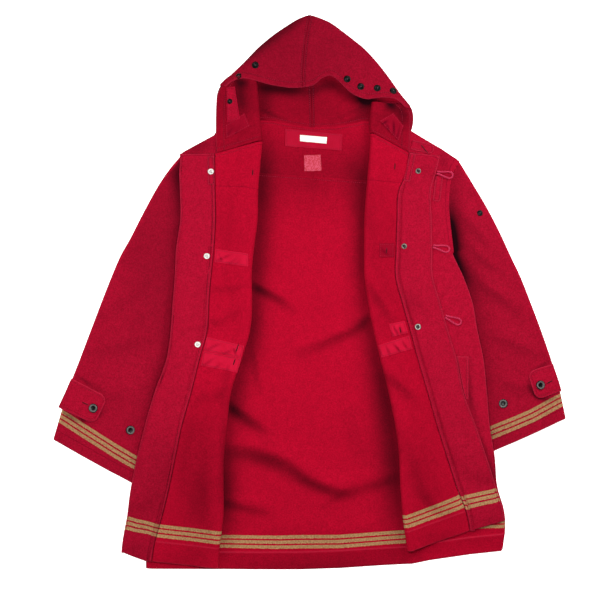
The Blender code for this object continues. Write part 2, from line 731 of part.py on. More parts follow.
def make_hood(ribs, sign):
    rows = [hood_row(rib, *HOOD_STEPS, sign * SEAM / 2 if i == 0 else 0.0) for i, rib in enumerate(ribs)]
    return folded(rows)


def make_flap(flap_rows, sign):
    """The hood's turned-back side: from inside the lower layer, round the outline, to the fold and back."""
    rows = []
    for flap in flap_rows:
        side = Vector((flap.side_x, flap.side_y))
        fold = Vector((flap.fold_x, flap.fold_y))
        edge = Vector((flap.edge_x, flap.edge_y))
        turn = side - Vector((sign * HOOD_ROLL, 0.0))
        tuck = fold + Vector((sign * FOLD_DEPTH, 0.0))
        root = turn - Vector((sign * FLAP_ROOT, 0.0))
        middle_low = CLOTH + SEAM
        middle_high = middle_low + CLOTH
        root_high = FLAP_LOW + FLAP_THIN
        outer = [(*root, FLAP_LOW), (*turn, FLAP_LOW)]
        inner = [(*root, root_high), (*turn, root_high)]
        outer += [(x, turn.y, z) for x, z in roll(turn.x, -sign, FLAP_LOW, middle_high, HOOD_ROLL, 4)]
        inner += [(x, turn.y, z) for x, z in roll(turn.x, -sign, root_high, middle_low, HOOD_ROLL - CLOTH, 4)]
        for i in range(4):
            place = turn.lerp(tuck, i / 3)
            outer.append((*place, middle_high))
            inner.append((*place, middle_low))
        under = middle_high + SEAM + FOLD_LOFT
        inner += [(x, tuck.y, z) for x, z in roll(tuck.x, sign, middle_low, under + CLOTH, FOLD_DEPTH, 6)]
        outer += [(x, tuck.y, z) for x, z in roll(tuck.x, sign, middle_high, under, FOLD_DEPTH - CLOTH, 6)]
        for i in range(5):
            place = tuck.lerp(edge, i / 4)
            away = abs(place.x - tuck.x)
            low = middle_high + SEAM + FOLD_LOFT * (1 - smooth(away / FOLD_LOFT_REACH))
            outer.append((*place, low))
            inner.append((*place, low + CLOTH))
        rows.append((outer, inner))
    return folded(rows)


# ---------------------------------------------------------------- trims on a surface
def surface_of(names, solids):
    """A function that gives the highest point of the named pieces above a place."""
    trees = []
    for name in names:
        solid = solids[name]
        trees.append(BVHTree.FromPolygons([Vector(p) for p in solid.points], triangles(solid)))

    def height(x, y):
        hits = [tree.ray_cast(Vector((x, y, 100.0)), Vector((0, 0, -1)))[0] for tree in trees]
        found = [hit.z for hit in hits if hit is not None]
        return max(found) if found else 0.0

    return height


def lay_grid(places, height, thickness, reach=4.0):
    """A patch over a surface, from rows of (x, y). It clears what lies within reach of each point."""
    rows = []
    for row in places:
        points = []
        for x, y in row:
            near = [height(x + dx, y + dy) for dx in (-reach, 0, reach) for dy in (-reach, 0, reach)]
            low = max(near) + SEAM
            points.append((x, y, low, low + thickness))
        rows.append(points)
    return sheet(rows)


def quad_places(tape, along, across):
    """Rows of places over a four-cornered patch."""
    a, b = Vector((tape.x0, tape.y0)), Vector((tape.x1, tape.y1))
    c, d = Vector((tape.x2, tape.y2)), Vector((tape.x3, tape.y3))
    rows = []
    for j in range(across + 1):
        start, end = a.lerp(d, j / across), b.lerp(c, j / across)
        rows.append([tuple(start.lerp(end, i / along)) for i in range(along + 1)])
    return rows


def strip_places(strip, across):
    """Rows of places along a strip whose far end may be rounded."""
    start, end = Vector((strip.x0, strip.y0)), Vector((strip.x1, strip.y1))
    length = (end - start).length
    way = (end - start) / length
    sideways = Vector((-way.y, way.x))
    straight = length - strip.round_end
    stops = [straight * i / 5 for i in range(6)]
    if strip.round_end:
        stops += [straight + strip.round_end * math.sin(math.pi / 2 * i / 3) for i in (1, 2, 2.8)]
    rows = []
    for stop in stops:
        width = mix(strip.width0, strip.width1, stop / length)
        if stop > straight:
            drop = (stop - straight) / strip.round_end
            width -= 2 * strip.round_end * (1 - math.sqrt(max(1 - drop * drop, 0.0)))
        middle = start + way * stop
        rows.append([tuple(middle + sideways * width * (i / across - 0.5)) for i in range(across + 1)])
    return rows


def make_welt(side, height):
    """The pocket's welt, from the band's edge out, tapering as the band crosses it."""
    rows = []
    for i in range(7):
        y = mix(WELT_TOP, WELT_BOTTOM, i / 6)
        near = side.line["edge"](y) + CURVED_SEAM
        rows.append([(mix(near, WELT_OUTER, j / 2), y) for j in range(3)])
    return lay_grid(rows, height, WELT_CLOTH)


STUD_PROFILES = {  # (share of radius, share of height) from the centre of the foot to the centre of the top
    "silver": ((0, 0), (1, 0), (1, 0.45), (0.8, 0.75), (0.55, 0.75), (0.5, 1), (0, 1)),
    "black": ((0, 0), (1, 0), (1, 0.4), (0.82, 0.7), (0.6, 0.7), (0.45, 1), (0, 1)),
    "horn": ((0, 0), (1, 0), (1, 0.6), (0.86, 1), (0.66, 1), (0.5, 0.6), (0, 0.6)),
}


def make_stud(stud, height):
    """A turned stud or button that lies on the cloth, tilted as the cloth is."""
    reach = stud.radius * 0.9
    east, west = height(stud.x + reach, stud.y), height(stud.x - reach, stud.y)
    north, south = height(stud.x, stud.y + reach), height(stud.x, stud.y - reach)
    normal = Vector(((west - east) / (2 * reach), (south - north) / (2 * reach), 1.0)).normalized()
    base = (east + west + north + south) / 4
    proud = 0.0
    for i in range(24):
        for share in (0.0, 0.5, 1.0):
            angle = 2 * math.pi * i / 24
            dx, dy = share * stud.radius * math.cos(angle), share * stud.radius * math.sin(angle)
            plane = base - (normal.x * dx + normal.y * dy) / normal.z
            proud = max(proud, height(stud.x + dx, stud.y + dy) - plane)
    foot = Vector((stud.x, stud.y, base + proud + SEAM))
    turn = Vector((0, 0, 1)).rotation_difference(normal).to_matrix()
    solid = Solid()
    rings = []
    profile = STUD_PROFILES[stud.kind]
    for share, rise in profile[1:-1]:
        ring = []
        for i in range(STUD_SIDES):
            angle = 2 * math.pi * i / STUD_SIDES
            flat = Vector((math.cos(angle), math.sin(angle), 0)) * stud.radius * share
            ring.append(solid.add(*(foot + turn @ (flat + Vector((0, 0, rise * stud.height))))))
        rings.append(ring)
    for low, high in zip(rings, rings[1:]):
        for i in range(STUD_SIDES):
            j = (i + 1) % STUD_SIDES
            solid.faces.append((low[i], low[j], high[j], high[i]))
    bottom = solid.add(*foot)
    top = solid.add(*(foot + turn @ Vector((0, 0, profile[-1][1] * stud.height))))
    for i in range(STUD_SIDES):
        j = (i + 1) % STUD_SIDES
        solid.faces.append((bottom, rings[0][j], rings[0][i]))
        solid.faces.append((top, rings[-1][i], rings[-1][j]))
    return faces_out(solid)


# ---------------------------------------------------------------- cord loops
def loop_plan(loop):
    """The loop's centre line in plan: out along one strand, round the tip, and back."""
    root, tip = Vector((loop.root_x, loop.root_y)), Vector((loop.tip_x, loop.tip_y))
    way = (tip - root).normalized()
    sideways = Vector((-way.y, way.x))
    centre = tip - way * LOOP_RADIUS
    points = []
    for i in range(LOOP_STEPS):
        t = i / LOOP_STEPS
        spread = mix(LOOP_MOUTH / 2, LOOP_RADIUS, smooth(t))
        points.append(root.lerp(centre, t) + sideways * spread)
    half_turn = [centre + LOOP_RADIUS * (way * math.sin(a) + sideways * math.cos(a))
                 for a in [math.pi * i / 8 for i in range(9)]]
    back = [2 * (root + way * (p - root).dot(way)) - p for p in points[::-1]]
    return points + half_turn + back


def make_loop(loop, height):
    points = []
    for place in loop_plan(loop):
        top = max(height(place.x + dx, place.y + dy) for dx in (-CORD, 0, CORD) for dy in (-CORD, 0, CORD))
        points.append((place.x, place.y, top + SEAM + CORD / 2))
    curve = bpy.data.curves.new(loop.name, "CURVE")
    curve.dimensions = "3D"
    spline = curve.splines.new("POLY")
    spline.points.add(len(points) - 1)
    for point, place in zip(spline.points, points):
        point.co = (place[0] * MM, place[1] * MM, place[2] * MM, 1)
    curve.bevel_depth = CORD / 2 * MM
    curve.bevel_resolution = 2
    curve.use_fill_caps = True
    obj = bpy.data.objects.new(loop.name, curve)
    bpy.context.collection.objects.link(obj)
    return obj


# ---------------------------------------------------------------- objects
def material(name):
    finish = FINISHES[name]
    made = bpy.data.materials.get(name) or bpy.data.materials.new(name)
    made.use_nodes = True
    shader = made.node_tree.nodes["Principled BSDF"]
    shader.inputs["Base Color"].default_value = (*finish.colour, 1)
    shader.inputs["Roughness"].default_value = finish.roughness
    shader.inputs["Metallic"].default_value = finish.metallic
    made.diffuse_color = (*finish.colour, 1)
    return made


def link(name, solid, finish, hidden=False):
    mesh = bpy.data.meshes.new(name)
    mesh.from_pydata([Vector(point) * MM for point in solid.points], [], triangles(solid))
    mesh.materials.append(material(finish))
    obj = bpy.data.objects.new(name, mesh)
    bpy.context.collection.objects.link(obj)
    if hidden:
        obj.hide_render = True
        obj.display_type = "WIRE"
    return obj


def join_flap(hood, flap):
    union = hood.modifiers.new("turned-back side", "BOOLEAN")
    union.operation = "UNION"
    union.object = flap


def clear_scene():
    for obj in list(bpy.data.objects):
        bpy.data.objects.remove(obj)


def main():
    clear_scene()
    sleeves = {"left": Sleeve(LEFT_SLEEVE), "right": Sleeve(RIGHT_SLEEVE)}
    left = Side(LEFT_STATIONS, LEFT_BORDERS, sleeves["left"])
    right = Side(RIGHT_STATIONS, RIGHT_BORDERS, sleeves["right"])
    sides = (left, right)
    solids = {
        "back_yoke": make_back(sides, 0, ROW_YOKE),
        "back_panel": make_back(sides, ROW_YOKE, ROW_BACK_HEM, start_shift=SEAM),
    }
    for name, side, ribs, flaps in (
        ("left", left, LEFT_HOOD, LEFT_FLAP),
        ("right", right, RIGHT_HOOD, RIGHT_FLAP),
    ):
        solids["front_" + name] = make_front(sides, side)
        solids["band_" + name] = make_band(sides, side)
        solids["sleeve_" + name] = make_sleeve(sleeves[name])
        solids["hood_" + name] = make_hood(ribs, side.sign)
        solids["hood_side_" + name] = make_flap(flaps, side.sign)
    finishes = dict.fromkeys(solids, "wool")

    for tape in TAPES:
        on = "front_left" if tape.x0 < 0 else "front_right"
        solids[tape.name] = lay_grid(quad_places(tape, 5, 3), surface_of([on], solids), TAPE_CLOTH)
        finishes[tape.name] = "nylon"
    solids[LABEL.name] = lay_grid(quad_places(LABEL, 6, 2), surface_of(["back_yoke"], solids), LABEL_CLOTH)
    finishes[LABEL.name] = "nylon"
    solids[TAG.name] = lay_grid(quad_places(TAG, 3, 1), surface_of([LABEL.name], solids), TAG_CLOTH)
    finishes[TAG.name] = "tag"
    for strip in STRIPS:
        solids[strip.name] = lay_grid(strip_places(strip, 4), surface_of([strip.on], solids), strip.cloth)
        finishes[strip.name] = "wool"
    solids["pocket_welt"] = make_welt(right, surface_of(["front_right"], solids))
    finishes["pocket_welt"] = "wool"
    for stud in STUDS:
        on = list(stud.on)
        if stud.name == "hood_snap_3":
            on.append("hood_side_left")
        solids[stud.name] = make_stud(stud, surface_of(on, solids))
        finishes[stud.name] = stud.kind

    made = {}
    for name, solid in solids.items():
        made[name] = link(name, solid, finishes[name], hidden=name.startswith("hood_side_"))
    for name in ("left", "right"):
        join_flap(made["hood_" + name], made["hood_side_" + name])
    on_front = surface_of(["front_right", "chest_tab", "sleeve_right"], solids)
    for loop in LOOPS:
        obj = make_loop(loop, on_front)
        obj.data.materials.append(material("cord"))


main()
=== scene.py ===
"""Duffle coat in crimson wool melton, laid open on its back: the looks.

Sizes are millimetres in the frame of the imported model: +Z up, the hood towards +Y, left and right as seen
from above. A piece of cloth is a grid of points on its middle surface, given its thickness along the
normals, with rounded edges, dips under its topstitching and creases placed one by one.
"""

import math
from collections import namedtuple

import bpy
import numpy as np
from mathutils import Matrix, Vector
from mathutils.bvhtree import BVHTree


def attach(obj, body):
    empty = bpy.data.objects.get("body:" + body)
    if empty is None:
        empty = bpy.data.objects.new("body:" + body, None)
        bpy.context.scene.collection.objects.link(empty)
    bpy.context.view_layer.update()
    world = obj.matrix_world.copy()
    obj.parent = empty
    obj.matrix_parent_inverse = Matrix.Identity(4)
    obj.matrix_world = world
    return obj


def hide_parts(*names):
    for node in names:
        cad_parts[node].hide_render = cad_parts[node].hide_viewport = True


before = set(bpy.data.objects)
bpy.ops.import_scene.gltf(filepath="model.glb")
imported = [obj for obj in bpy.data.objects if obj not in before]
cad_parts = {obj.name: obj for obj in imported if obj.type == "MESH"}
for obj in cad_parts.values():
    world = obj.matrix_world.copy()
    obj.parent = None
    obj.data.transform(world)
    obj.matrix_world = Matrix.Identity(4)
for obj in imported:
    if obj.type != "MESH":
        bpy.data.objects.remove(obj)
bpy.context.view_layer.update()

MM = 0.001
CLOTH = 2.6  # wall of the melton
SEAM = 0.3  # clearance between neighbouring pieces
BAND_CLOTH = 3.8  # doubled cloth of the button bands
GRID = 6.0  # usual spacing of a cloth's points
RIM = (0.0, 0.3, 1.0, 2.2)  # points of a rounded edge, measured from it
STITCH_IN = 6.2  # topstitching lies this far inside a seam or an edge
RIM_STITCH = 3.4  # stitching close to a free edge
STITCHED = RIM + (4.2, 5.4, 6.2, 7.0, 8.4, 11.0)  # points of an edge with topstitching
STITCH_POINT = STITCHED.index(STITCH_IN)
RIM_STITCHED = RIM + (RIM_STITCH, 4.6)
RIM_POINT = RIM_STITCHED.index(RIM_STITCH)
SEAM_OVERLAP = 1.5  # neighbouring pieces run this far into each other at their seam
DIP = 0.55  # depth of the dip under a row of topstitching
DIP_WIDTH = 0.9
# The rim map holds the distance to a free edge or ridge, for a painted highlight along it, and the share of
# painted shade.
MAPS = ("weave", "seams", "rim")  # the maps that every cloth carries

# ---------------------------------------------------------------- camera
VIEW_CENTRE = (-0.019, -0.0164)
VIEW_WIDTH = 1.2
VIEW_HEIGHT = 5.0
SENSOR = 36.0

# ---------------------------------------------------------------- the body in plan
FOLD_DEPTH = 8.0  # how far a fold's roll reaches past its flat layers
FOLD_LOFT = 9.0  # extra height that thick cloth keeps beside a fold
FOLD_LOFT_REACH = 58.0
SLEEVE_HEIGHT = 7.0
SLEEVE_HOLLOW = 1.8
SLEEVE_PUFF = 8.0  # how much higher a sleeve stands along its middle
# Painted shade lies in the hollow where a sleeve dips under the body's edge, this wide:
VALLEY_SHADOW_WIDTH = 21.0  # width of the hollow where a sleeve dips under the body's edge
RISE_START, RISE_END = 62.0, 28.0  # the body climbs onto a sleeve between these distances from its edge
ARMHOLE_LOW, ARMHOLE_HIGH = 116.0, 156.0  # the climb fades out between these heights on the body
ARMHOLE_SKEW = 0.7
ARMHOLE_OVERLAP = 2.0  # the body's panels run this far into the sleeve at its seam
ARMHOLE_STITCH = 8.0  # the armhole's topstitching lies this far inside its seam
DROOP = 30.0  # a band that overhangs the side seam comes down within this reach


def table(kind, *rows):
    """The rows of a table, each as a record of its kind."""
    return tuple(kind(*row) for row in rows)


Station = namedtuple("Station", "y fold band edge side")
LEFT_STATIONS = table(
    Station,
    (330, -91, -186, -257, -247),
    (274, -96, -189, -257, -250),
    (240, -99, -189, -260, -253),
    (204, -102, -188, -259, -251),
    (146, -103, -187, -258, -253),
    (82, -111, -191, -267, -244),
    (30, -115, -196, -269, -252),
    (-20, -114, -200, -273, -263),
    (-76, -118, -203, -277, -272),
    (-132, -134, -218, -285, -280),
    (-200, -156, -235, -309, -299),
    (-276, -165, -256, -331, -317),
    (-324, -170, -266, -343, -323),
    (-392, -171, -280, -357, -325),
    (-442, -171, -292, -364, -326),
    (-518, -180, -312, -376, -327),
    (-560, -183, -316, -376, -327),
)
RIGHT_STATIONS = table(
    Station,
    (330, 121, 202, 262, 295),
    (274, 119, 198, 261, 293),
    (240, 116, 194, 253, 283),
    (204, 113, 178, 243, 277),
    (146, 109, 174, 244, 281),
    (82, 108, 172, 245, 284),
    (30, 109, 171, 246, 307),
    (-20, 116, 184, 260, 325),
    (-76, 127, 200, 276, 335),
    (-132, 140, 215, 293, 347),
    (-200, 157, 235, 307, 354),
    (-276, 172, 257, 335, 361),
    (-324, 178, 272, 351, 369),
    (-392, 181, 294, 373, 376),
    (-442, 185, 313, 387, 390),
    (-480, 190, 320, 388, 391),
    (-518, 195, 321, 383, 386),
    (-560, 196, 322, 382, 385),
)
Border = namedtuple("Border", "stop back lower upper yoke front_hem back_hem")
LEFT_BORDERS = table(
    Border,
    ("fold", 341, 300.4, 299.6, 237, -552, -554.5),
    ("band", 309.6, 315.0, 276.0, 238, -539, -554),
    ("side", 276.3, 275.6, 274.6, 239, -538, -553),
    ("edge", 275.5, 275.0, 273.6, 240, -522, -552),
)
RIGHT_BORDERS = table(
    Border,
    ("fold", 340, 316.2, 315.4, 222, -518, -542),
    ("band", 318.2, 322.8, 278.0, 222, -478, -525),
    ("edge", 287.0, 286.2, 271.6, 223, -458, -518.5),
    ("side", 262.8, 262.0, 260.0, 224, -457, -514),
)

# ---------------------------------------------------------------- sleeves
Ring = namedtuple("Ring", "outer_x outer_y inner_x inner_y bow")
LEFT_SLEEVE = table(
    Ring,
    (-257, 270, -243, 84, 6),
    (-278, 245, -240, 46, 2),
    (-303, 208, -228, 4, 0),
    (-333, 153, -215, -36, 0),
    (-357, 106, -213, -66, 0),
    (-379, 66, -219, -102, 0),
    (-407, -2, -235, -152, 0),
    (-433, -70, -257, -206, 0),
    (-458, -136, -283, -262, 0),
    (-483, -202, -315, -318, 0),
    (-511, -296, -348, -386, 0),
)
RIGHT_SLEEVE = table(
    Ring,
    (297, 261, 286, 80, -15),
    (321, 222, 284, 40, -5),
    (353, 168, 268, 0, 0),
    (378, 120, 254, -36, 0),
    (403, 66, 243, -68, 0),
    (421, 28, 249, -100, 0),
    (443, -28, 263, -146, 0),
    (461, -76, 277, -188, 0),
    (483, -140, 299, -246, 0),
    (499, -198, 321, -292, 0),
    (511, -254, 347, -328, 0),
)

# ---------------------------------------------------------------- hood
Rib = namedtuple("Rib", "neck_x neck_y top_x top_y mouth_x mouth_y lift bow")
LEFT_HOOD = table(
    Rib,
    (5, 328, 0, 554, -14, 407, 15, -4),
    (-19, 331, -23, 545, -33, 406, 15, -3),
    (-47, 336, -49, 529, -53, 408, 14, -2),
    (-75, 342, -76, 510, -80, 413, 13, 0),
    (-103, 342, -103, 487, -105, 420, 12, 0),
    (-131, 338, -129, 460, -127, 425, 11, 0),
    (-157, 328, -154, 436, -149, 422, 9, 0),
    (-184, 319, -173, 417, -167, 410, 7, 0),
)
RIGHT_HOOD = table(
    Rib,
    (5, 328, 0, 554, -14, 407, 15, -4),
    (25, 329, 21, 547, 7, 411, 15, -3),
    (47, 329, 43, 537, 26, 426, 15, -2),
    (67, 332, 65, 521, 44, 430, 14, -1),
    (89, 336, 87, 504, 62, 416, 13, 0),
    (111, 341, 109, 486, 83, 396, 13, 0),
    (135, 336, 135, 458, 112, 384, 12, 0),
    (159, 331, 159, 427, 143, 387, 11, 0),
    (183, 325, 181, 396, 172, 384, 9, 0),
    (204, 319, 201, 372, 191, 368, 7, 0),
)
Flap = namedtuple("Flap", "side_x side_y fold_x fold_y edge_x edge_y")
LEFT_FLAP = table(
    Flap,
    (-185, 325.0, -95, 301.0, -186, 277.0),
    (-184, 344, -96, 328, -187, 308),
    (-186, 370, -99, 356, -187, 344),
    (-186, 388, -101, 382, -186, 378),
    (-182, 404, -103, 402, -182, 398),
    (-174, 417, -104, 417, -173, 413),
    (-164, 426, -105, 426, -163, 424),
)
RIGHT_FLAP = table(
    Flap,
    (205, 324.2, 119, 317.0, 199, 279.0),
    (207, 334, 119, 334, 200, 306),
    (208, 346, 120, 350, 201, 334),
    (207, 357, 121, 362, 201, 350),
    (203, 368, 123, 372, 198, 362),
    (193, 380, 124, 379, 188, 374),
)
HOOD_GAP = 1.5
HOOD_ROLL = 6.0
HOOD_HEM = 11.0  # width of the hem round the hood's opening
HOOD_HEM_EXTRA = 1.5
HEM_EDGE = 1.2  # a hem's step lies within this width
MOUTH_POINTS = RIM + (5.0, 9.0, 10.4, HOOD_HEM, 11.6, 13.0)
FLAP_HEM = 16.0  # the hem widens on the turned-back sides
FLAP_POINTS = RIM + (5.0, 9.0, 13.0, 15.4, FLAP_HEM, 16.6, 18.0)
CENTRE_STITCH = 4.5

# ---------------------------------------------------------------- creases
# A soft stroke along a curve from 0 by 1 to 2. In a table of creases its size is the height of a ridge in
# millimetres, or of a trough where it is negative; in a table of painted shadows it is the share of painted
# shade.
Stroke = namedtuple("Stroke", "x0 y0 x1 y1 x2 y2 width size")


def strokes(*rows):
    return table(Stroke, *rows)


BACK_CREASES = strokes(
    (-110, 24, -70, 8, -30, -20, 14, 4.2),
    (124, -50, 70, -72, -16, -112, 13, 7.0),
    (112, -84, 60, -100, 10, -140, 12, -2.0),
    (-168, -206, -126, -230, -76, -272, 17, 4.6),
    (-150, -304, -80, -302, -4, -348, 18, 6.0),
    (-20, -350, 30, -384, 90, -392, 16, 5.5),
    (60, -388, 120, -378, 176, -352, 15, 4.0),
    (-164, -412, -118, -420, -72, -434, 14, 3.0),
    (24, -424, 56, -404, 84, -376, 10, 3.0),
    (88, -210, 108, -266, 118, -332, 22, 3.0),
    (82, 180, 96, 140, 88, 96, 22, -2.0),
    (-103, -104, -100, -150, -96, -184, 9, 3.0),
    (-60, -470, 30, -478, 130, -462, 24, 2.5),
    (-40, 240, 10, 226, 60, 236, 20, 1.6),
)
LEFT_FRONT_CREASES = strokes(
    (-136, 250, -150, 150, -156, 60, 22, 3.0),
    (-120, -10, -160, -36, -196, -62, 14, 4.0),
    (-120, 30, -156, 10, -190, 16, 12, 2.4),
    (-140, -150, -176, -196, -214, -206, 15, 4.2),
    (-200, -190, -226, -280, -250, -360, 18, 3.6),
    (-190, -330, -200, -410, -196, -480, 18, 3.0),
    (-230, -400, -250, -450, -262, -510, 16, -2.4),
)
RIGHT_FRONT_CREASES = strokes(
    (134, 250, 140, 170, 142, 60, 20, 2.8),
    (124, 30, 146, -10, 172, -50, 14, 3.4),
    (150, -150, 190, -176, 222, -210, 15, 4.0),
    (196, -260, 226, -340, 250, -430, 20, 3.6),
    (206, -400, 240, -440, 290, -460, 16, -2.6),
)
SLEEVE_CREASES = strokes(
    (-296, 176, -318, 120, -352, 66, 15, 2.8),
    (-286, 70, -330, 20, -404, -40, 14, 2.8),
    (-276, 20, -306, -30, -340, -60, 12, 1.9),
    (-300, -60, -352, -100, -430, -110, 16, 2.6),
    (-336, -170, -388, -210, -440, -190, 16, 2.0),
    (310, 168, 340, 132, 366, 84, 15, 2.8),
    (328, 40, 380, 0, 430, -34, 14, 2.8),
    (322, 100, 350, 66, 384, 50, 12, 1.9),
    (356, -70, 420, -104, 468, -112, 16, 2.5),
    (380, -170, 420, -190, 470, -176, 15, 1.9),
)
HOOD_CREASES = strokes(
    (-96, 372, -70, 360, -44, 352, 7, 3.2),
    (-98, 356, -84, 344, -60, 338, 6, 2.4),
    (112, 380, 84, 366, 46, 350, 8, 3.4),
    (114, 362, 92, 352, 70, 344, 6, 2.2),
)
# Painted shade over a whole piece, for the less light it gets than the brightest ones.
PIECE_PAINTED_SHADES = {"sleeve": 0.12, "crown": 0.22, "hood_inside": 0.20, "back_yoke": 0.10, "flap": 0.34}
# Creases get painted shade on their side turned away from the light, which comes from this side:
PAINTED_LIGHT_SIDE = (0.6, 0.8)  # the side that creases are brightest on
FLANK_STEP = 6.0
FLANK_SHADE = 1.5

# ---------------------------------------------------------------- painted shadows
# Shade painted into the cloth's colour, piece by piece: beside folds, in hollows, along creases and under
# tabs.
PAINTED_SHADOWS = {
    "back_panel": strokes(
        (-93, 310, -99, 200, -103, 60, 30, 0.70),
        (-103, 110, -111, -20, -117, -120, 26, 0.66),
        (-118, -70, -150, -190, -170, -290, 28, 0.62),
        (-170, -290, -172, -390, -176, -500, 28, 0.86),
        (120, 300, 106, 200, 110, 60, 30, 0.55),
        (108, 120, 104, 30, 116, -40, 26, 0.50),
        (114, -30, 134, -130, 160, -250, 28, 0.64),
        (146, -190, 172, -330, 184, -500, 34, 0.80),
        (-166, -196, -150, -216, -128, -244, 17, 0.12),
        (122, -50, 104, -62, 86, -72, 9, 0.45),
        (-114, 10, -74, -6, -38, -38, 9, 0.16),
        (-168, -232, -124, -256, -80, -296, 13, 0.30),
        (-156, -328, -84, -330, -10, -378, 15, 0.40),
        (-30, -368, 16, -400, 74, -410, 13, 0.28),
        (60, -404, 116, -398, 168, -376, 12, 0.16),
        (-168, -424, -120, -434, -76, -446, 10, 0.14),
        (-180, -546, 0, -554, 210, -534, 24, 0.42),
        (-110, 250, 0, 220, 110, 250, 80, 0.32),
        (70, 280, 92, 250, 96, 180, 26, 0.14),
    ),
    "front_left": strokes(
        (-215, -230, -222, -360, -226, -500, 50, 0.36),
        (-130, 260, -150, 100, -160, -40, 60, 0.06),
        (-166, -210, -176, -320, -176, -440, 7, 0.30),
        (-152, -120, -170, -190, -174, -230, 8, 0.20),
        (-190, -530, -240, -534, -300, -530, 18, 0.22),
    ),
    "front_right": strokes(
        (215, -240, 232, -350, 250, -460, 40, 0.18),
        (136, -110, 158, -220, 184, -340, 8, 0.26),
        (214, -500, 250, -496, 310, -470, 18, 0.20),
        (146, 250, 150, 60, 190, -140, 70, 0.17),
    ),
    "front_left_lower": strokes((-256, 276, -222, 290, -186, 300, 20, 0.46),),
    "front_right_lower": strokes(
        (264, 288, 272, 262, 268, 220, 12, 0.26),
        (300, -130, 322, -230, 350, -322, 7, 0.34),
        (340, -296, 360, -350, 374, -392, 8, 0.50),
        (320, -130, 321, -180, 320, -236, 4, 0.34),
    ),
    "band_left": strokes(
        (-284, -270, -300, -380, -320, -490, 44, 0.22),
        (-320, -520, -340, -524, -370, -512, 16, 0.20),
    ),
    "band_right": strokes(
        (190, 4, 206, -18, 224, -46, 14, 0.16),
        (230, 262, 234, 246, 240, 226, 16, 0.12),
        (330, -470, 360, -464, 386, -452, 12, 0.20),
    ),
    "sleeve_left": strokes(
        (-296, 210, -312, 60, -330, -90, 44, 0.20),
        (-500, -236, -448, -274, -408, -236, 5, 0.75),
        (-474, -164, -444, -180, -410, -200, 4, 0.40),
    ),
    "sleeve_right": strokes(
        (330, 120, 330, 40, 350, -60, 34, 0.10),
        (437, -176, 444, -222, 486, -212, 5, 0.85),
        (441, -166, 455, -150, 487, -138, 4, 0.45),
    ),
    "hood_inside": strokes(
        (-112, 414, -53, 402, 5, 402, 14, 0.65),
        (5, 402, 40, 424, 72, 406, 13, 0.50),
        (70, 402, 104, 384, 150, 378, 13, 0.60),
        (-96, 424, -96, 380, -84, 336, 22, 0.46),
        (116, 404, 112, 370, 100, 336, 22, 0.50),
        (-90, 372, 0, 368, 90, 368, 60, 0.26),
    ),
    "flap_left": strokes(
        (-152, 424, -140, 384, -130, 336, 48, 0.24),
        (-154, 420, -138, 420, -118, 414, 12, 0.46),
        (-142, 416, -137, 392, -134, 356, 13, 0.30),
    ),
    "flap_right": strokes(
        (150, 380, 158, 376, 176, 364, 11, 0.62),
        (180, 374, 192, 352, 188, 326, 15, 0.34),
        (140, 370, 160, 346, 170, 316, 46, 0.16),
    ),
    "crown": strokes(
        (-130, 440, -10, 520, 130, 430, 120, 0.14),
        (-138, 458, -98, 495, -47, 528, 14, 0.52),
        (-57, 520, -27, 540, -8, 553, 11, 0.36),
    ),
}

# ---------------------------------------------------------------- stripes
STRIPES_WIDTH = 26.0
STRIPE_PITCH = 9.5
STRIPE_WIDE = 6.4
STRIPE_WOBBLE = 2.2  # how much the nap makes the stripes' edges waver
CUFF_FACING = 20.0  # width of the turned-in cuff
# Painted shade in the hollow between a sleeve and the body: how dark it is painted, by height.
VALLEY_SHADOWS = {  # how dark the hollow between a sleeve and the body is, by height
    "sleeve_left": (
        (300, 0.30), (262, 0.55), (235, 0.75), (190, 0.55), (120, 0.36), (40, 0.26), (-60, 0.28),
        (-140, 0.36), (-200, 0.30), (-300, 0.1),
    ),
    "sleeve_right": (
        (290, 0.2), (200, 0.35), (160, 0.75), (140, 1.0), (60, 1.0), (30, 0.8), (0, 0.45),
        (-100, 0.3), (-300, 0.15),
    ),
}
Hem = namedtuple("Hem", "stripes facing")
HEMS = {  # how far above its hem each piece has its lowest stripe and the top of its turned-up hem
    "front_left": Hem(49.0, 40.5),
    "front_right": Hem(47.0, 40.0),
    "band_left": Hem(50.0, 0.0),
    "band_right": Hem(46.5, 0.0),
    "back_panel": Hem(41.5, 34.0),
    "sleeve_left": Hem(26.6, 0.0),
    "sleeve_right": Hem(23.0, 0.0),
}
FAR = 1000.0  # stands for "no stripe or seam near here"
ABOVE_ALL, DOWN = 100.0, Vector((0, 0, -1))


# ---------------------------------------------------------------- reading tables
def smooth(t):
    t = np.clip(t, 0.0, 1.0)
    return t * t * (3 - 2 * t)


def mix(a, b, t):
    return a + (b - a) * t


class Line:
    """A smooth line through a table's points, read at any number of places at once."""

    def __init__(self, at, value):
        order = np.argsort(at)
        self.at = np.array(at, float)[order]
        self.value = np.array(value, float)[order]
        self.slope = np.gradient(self.value, self.at)

    def __call__(self, where):
        where = np.clip(where, self.at[0], self.at[-1])
        i = np.clip(np.searchsorted(self.at, where) - 1, 0, len(self.at) - 2)
        step = self.at[i + 1] - self.at[i]
        t = (where - self.at[i]) / step
        start = (1 + 2 * t) * (1 - t) ** 2 * self.value[i] + t * (1 - t) ** 2 * step * self.slope[i]
        return start + t * t * (3 - 2 * t) * self.value[i + 1] + t * t * (t - 1) * step * self.slope[i + 1]


def by_index(rows, column):
    return Line(range(len(rows)), [getattr(row, column) for row in rows])


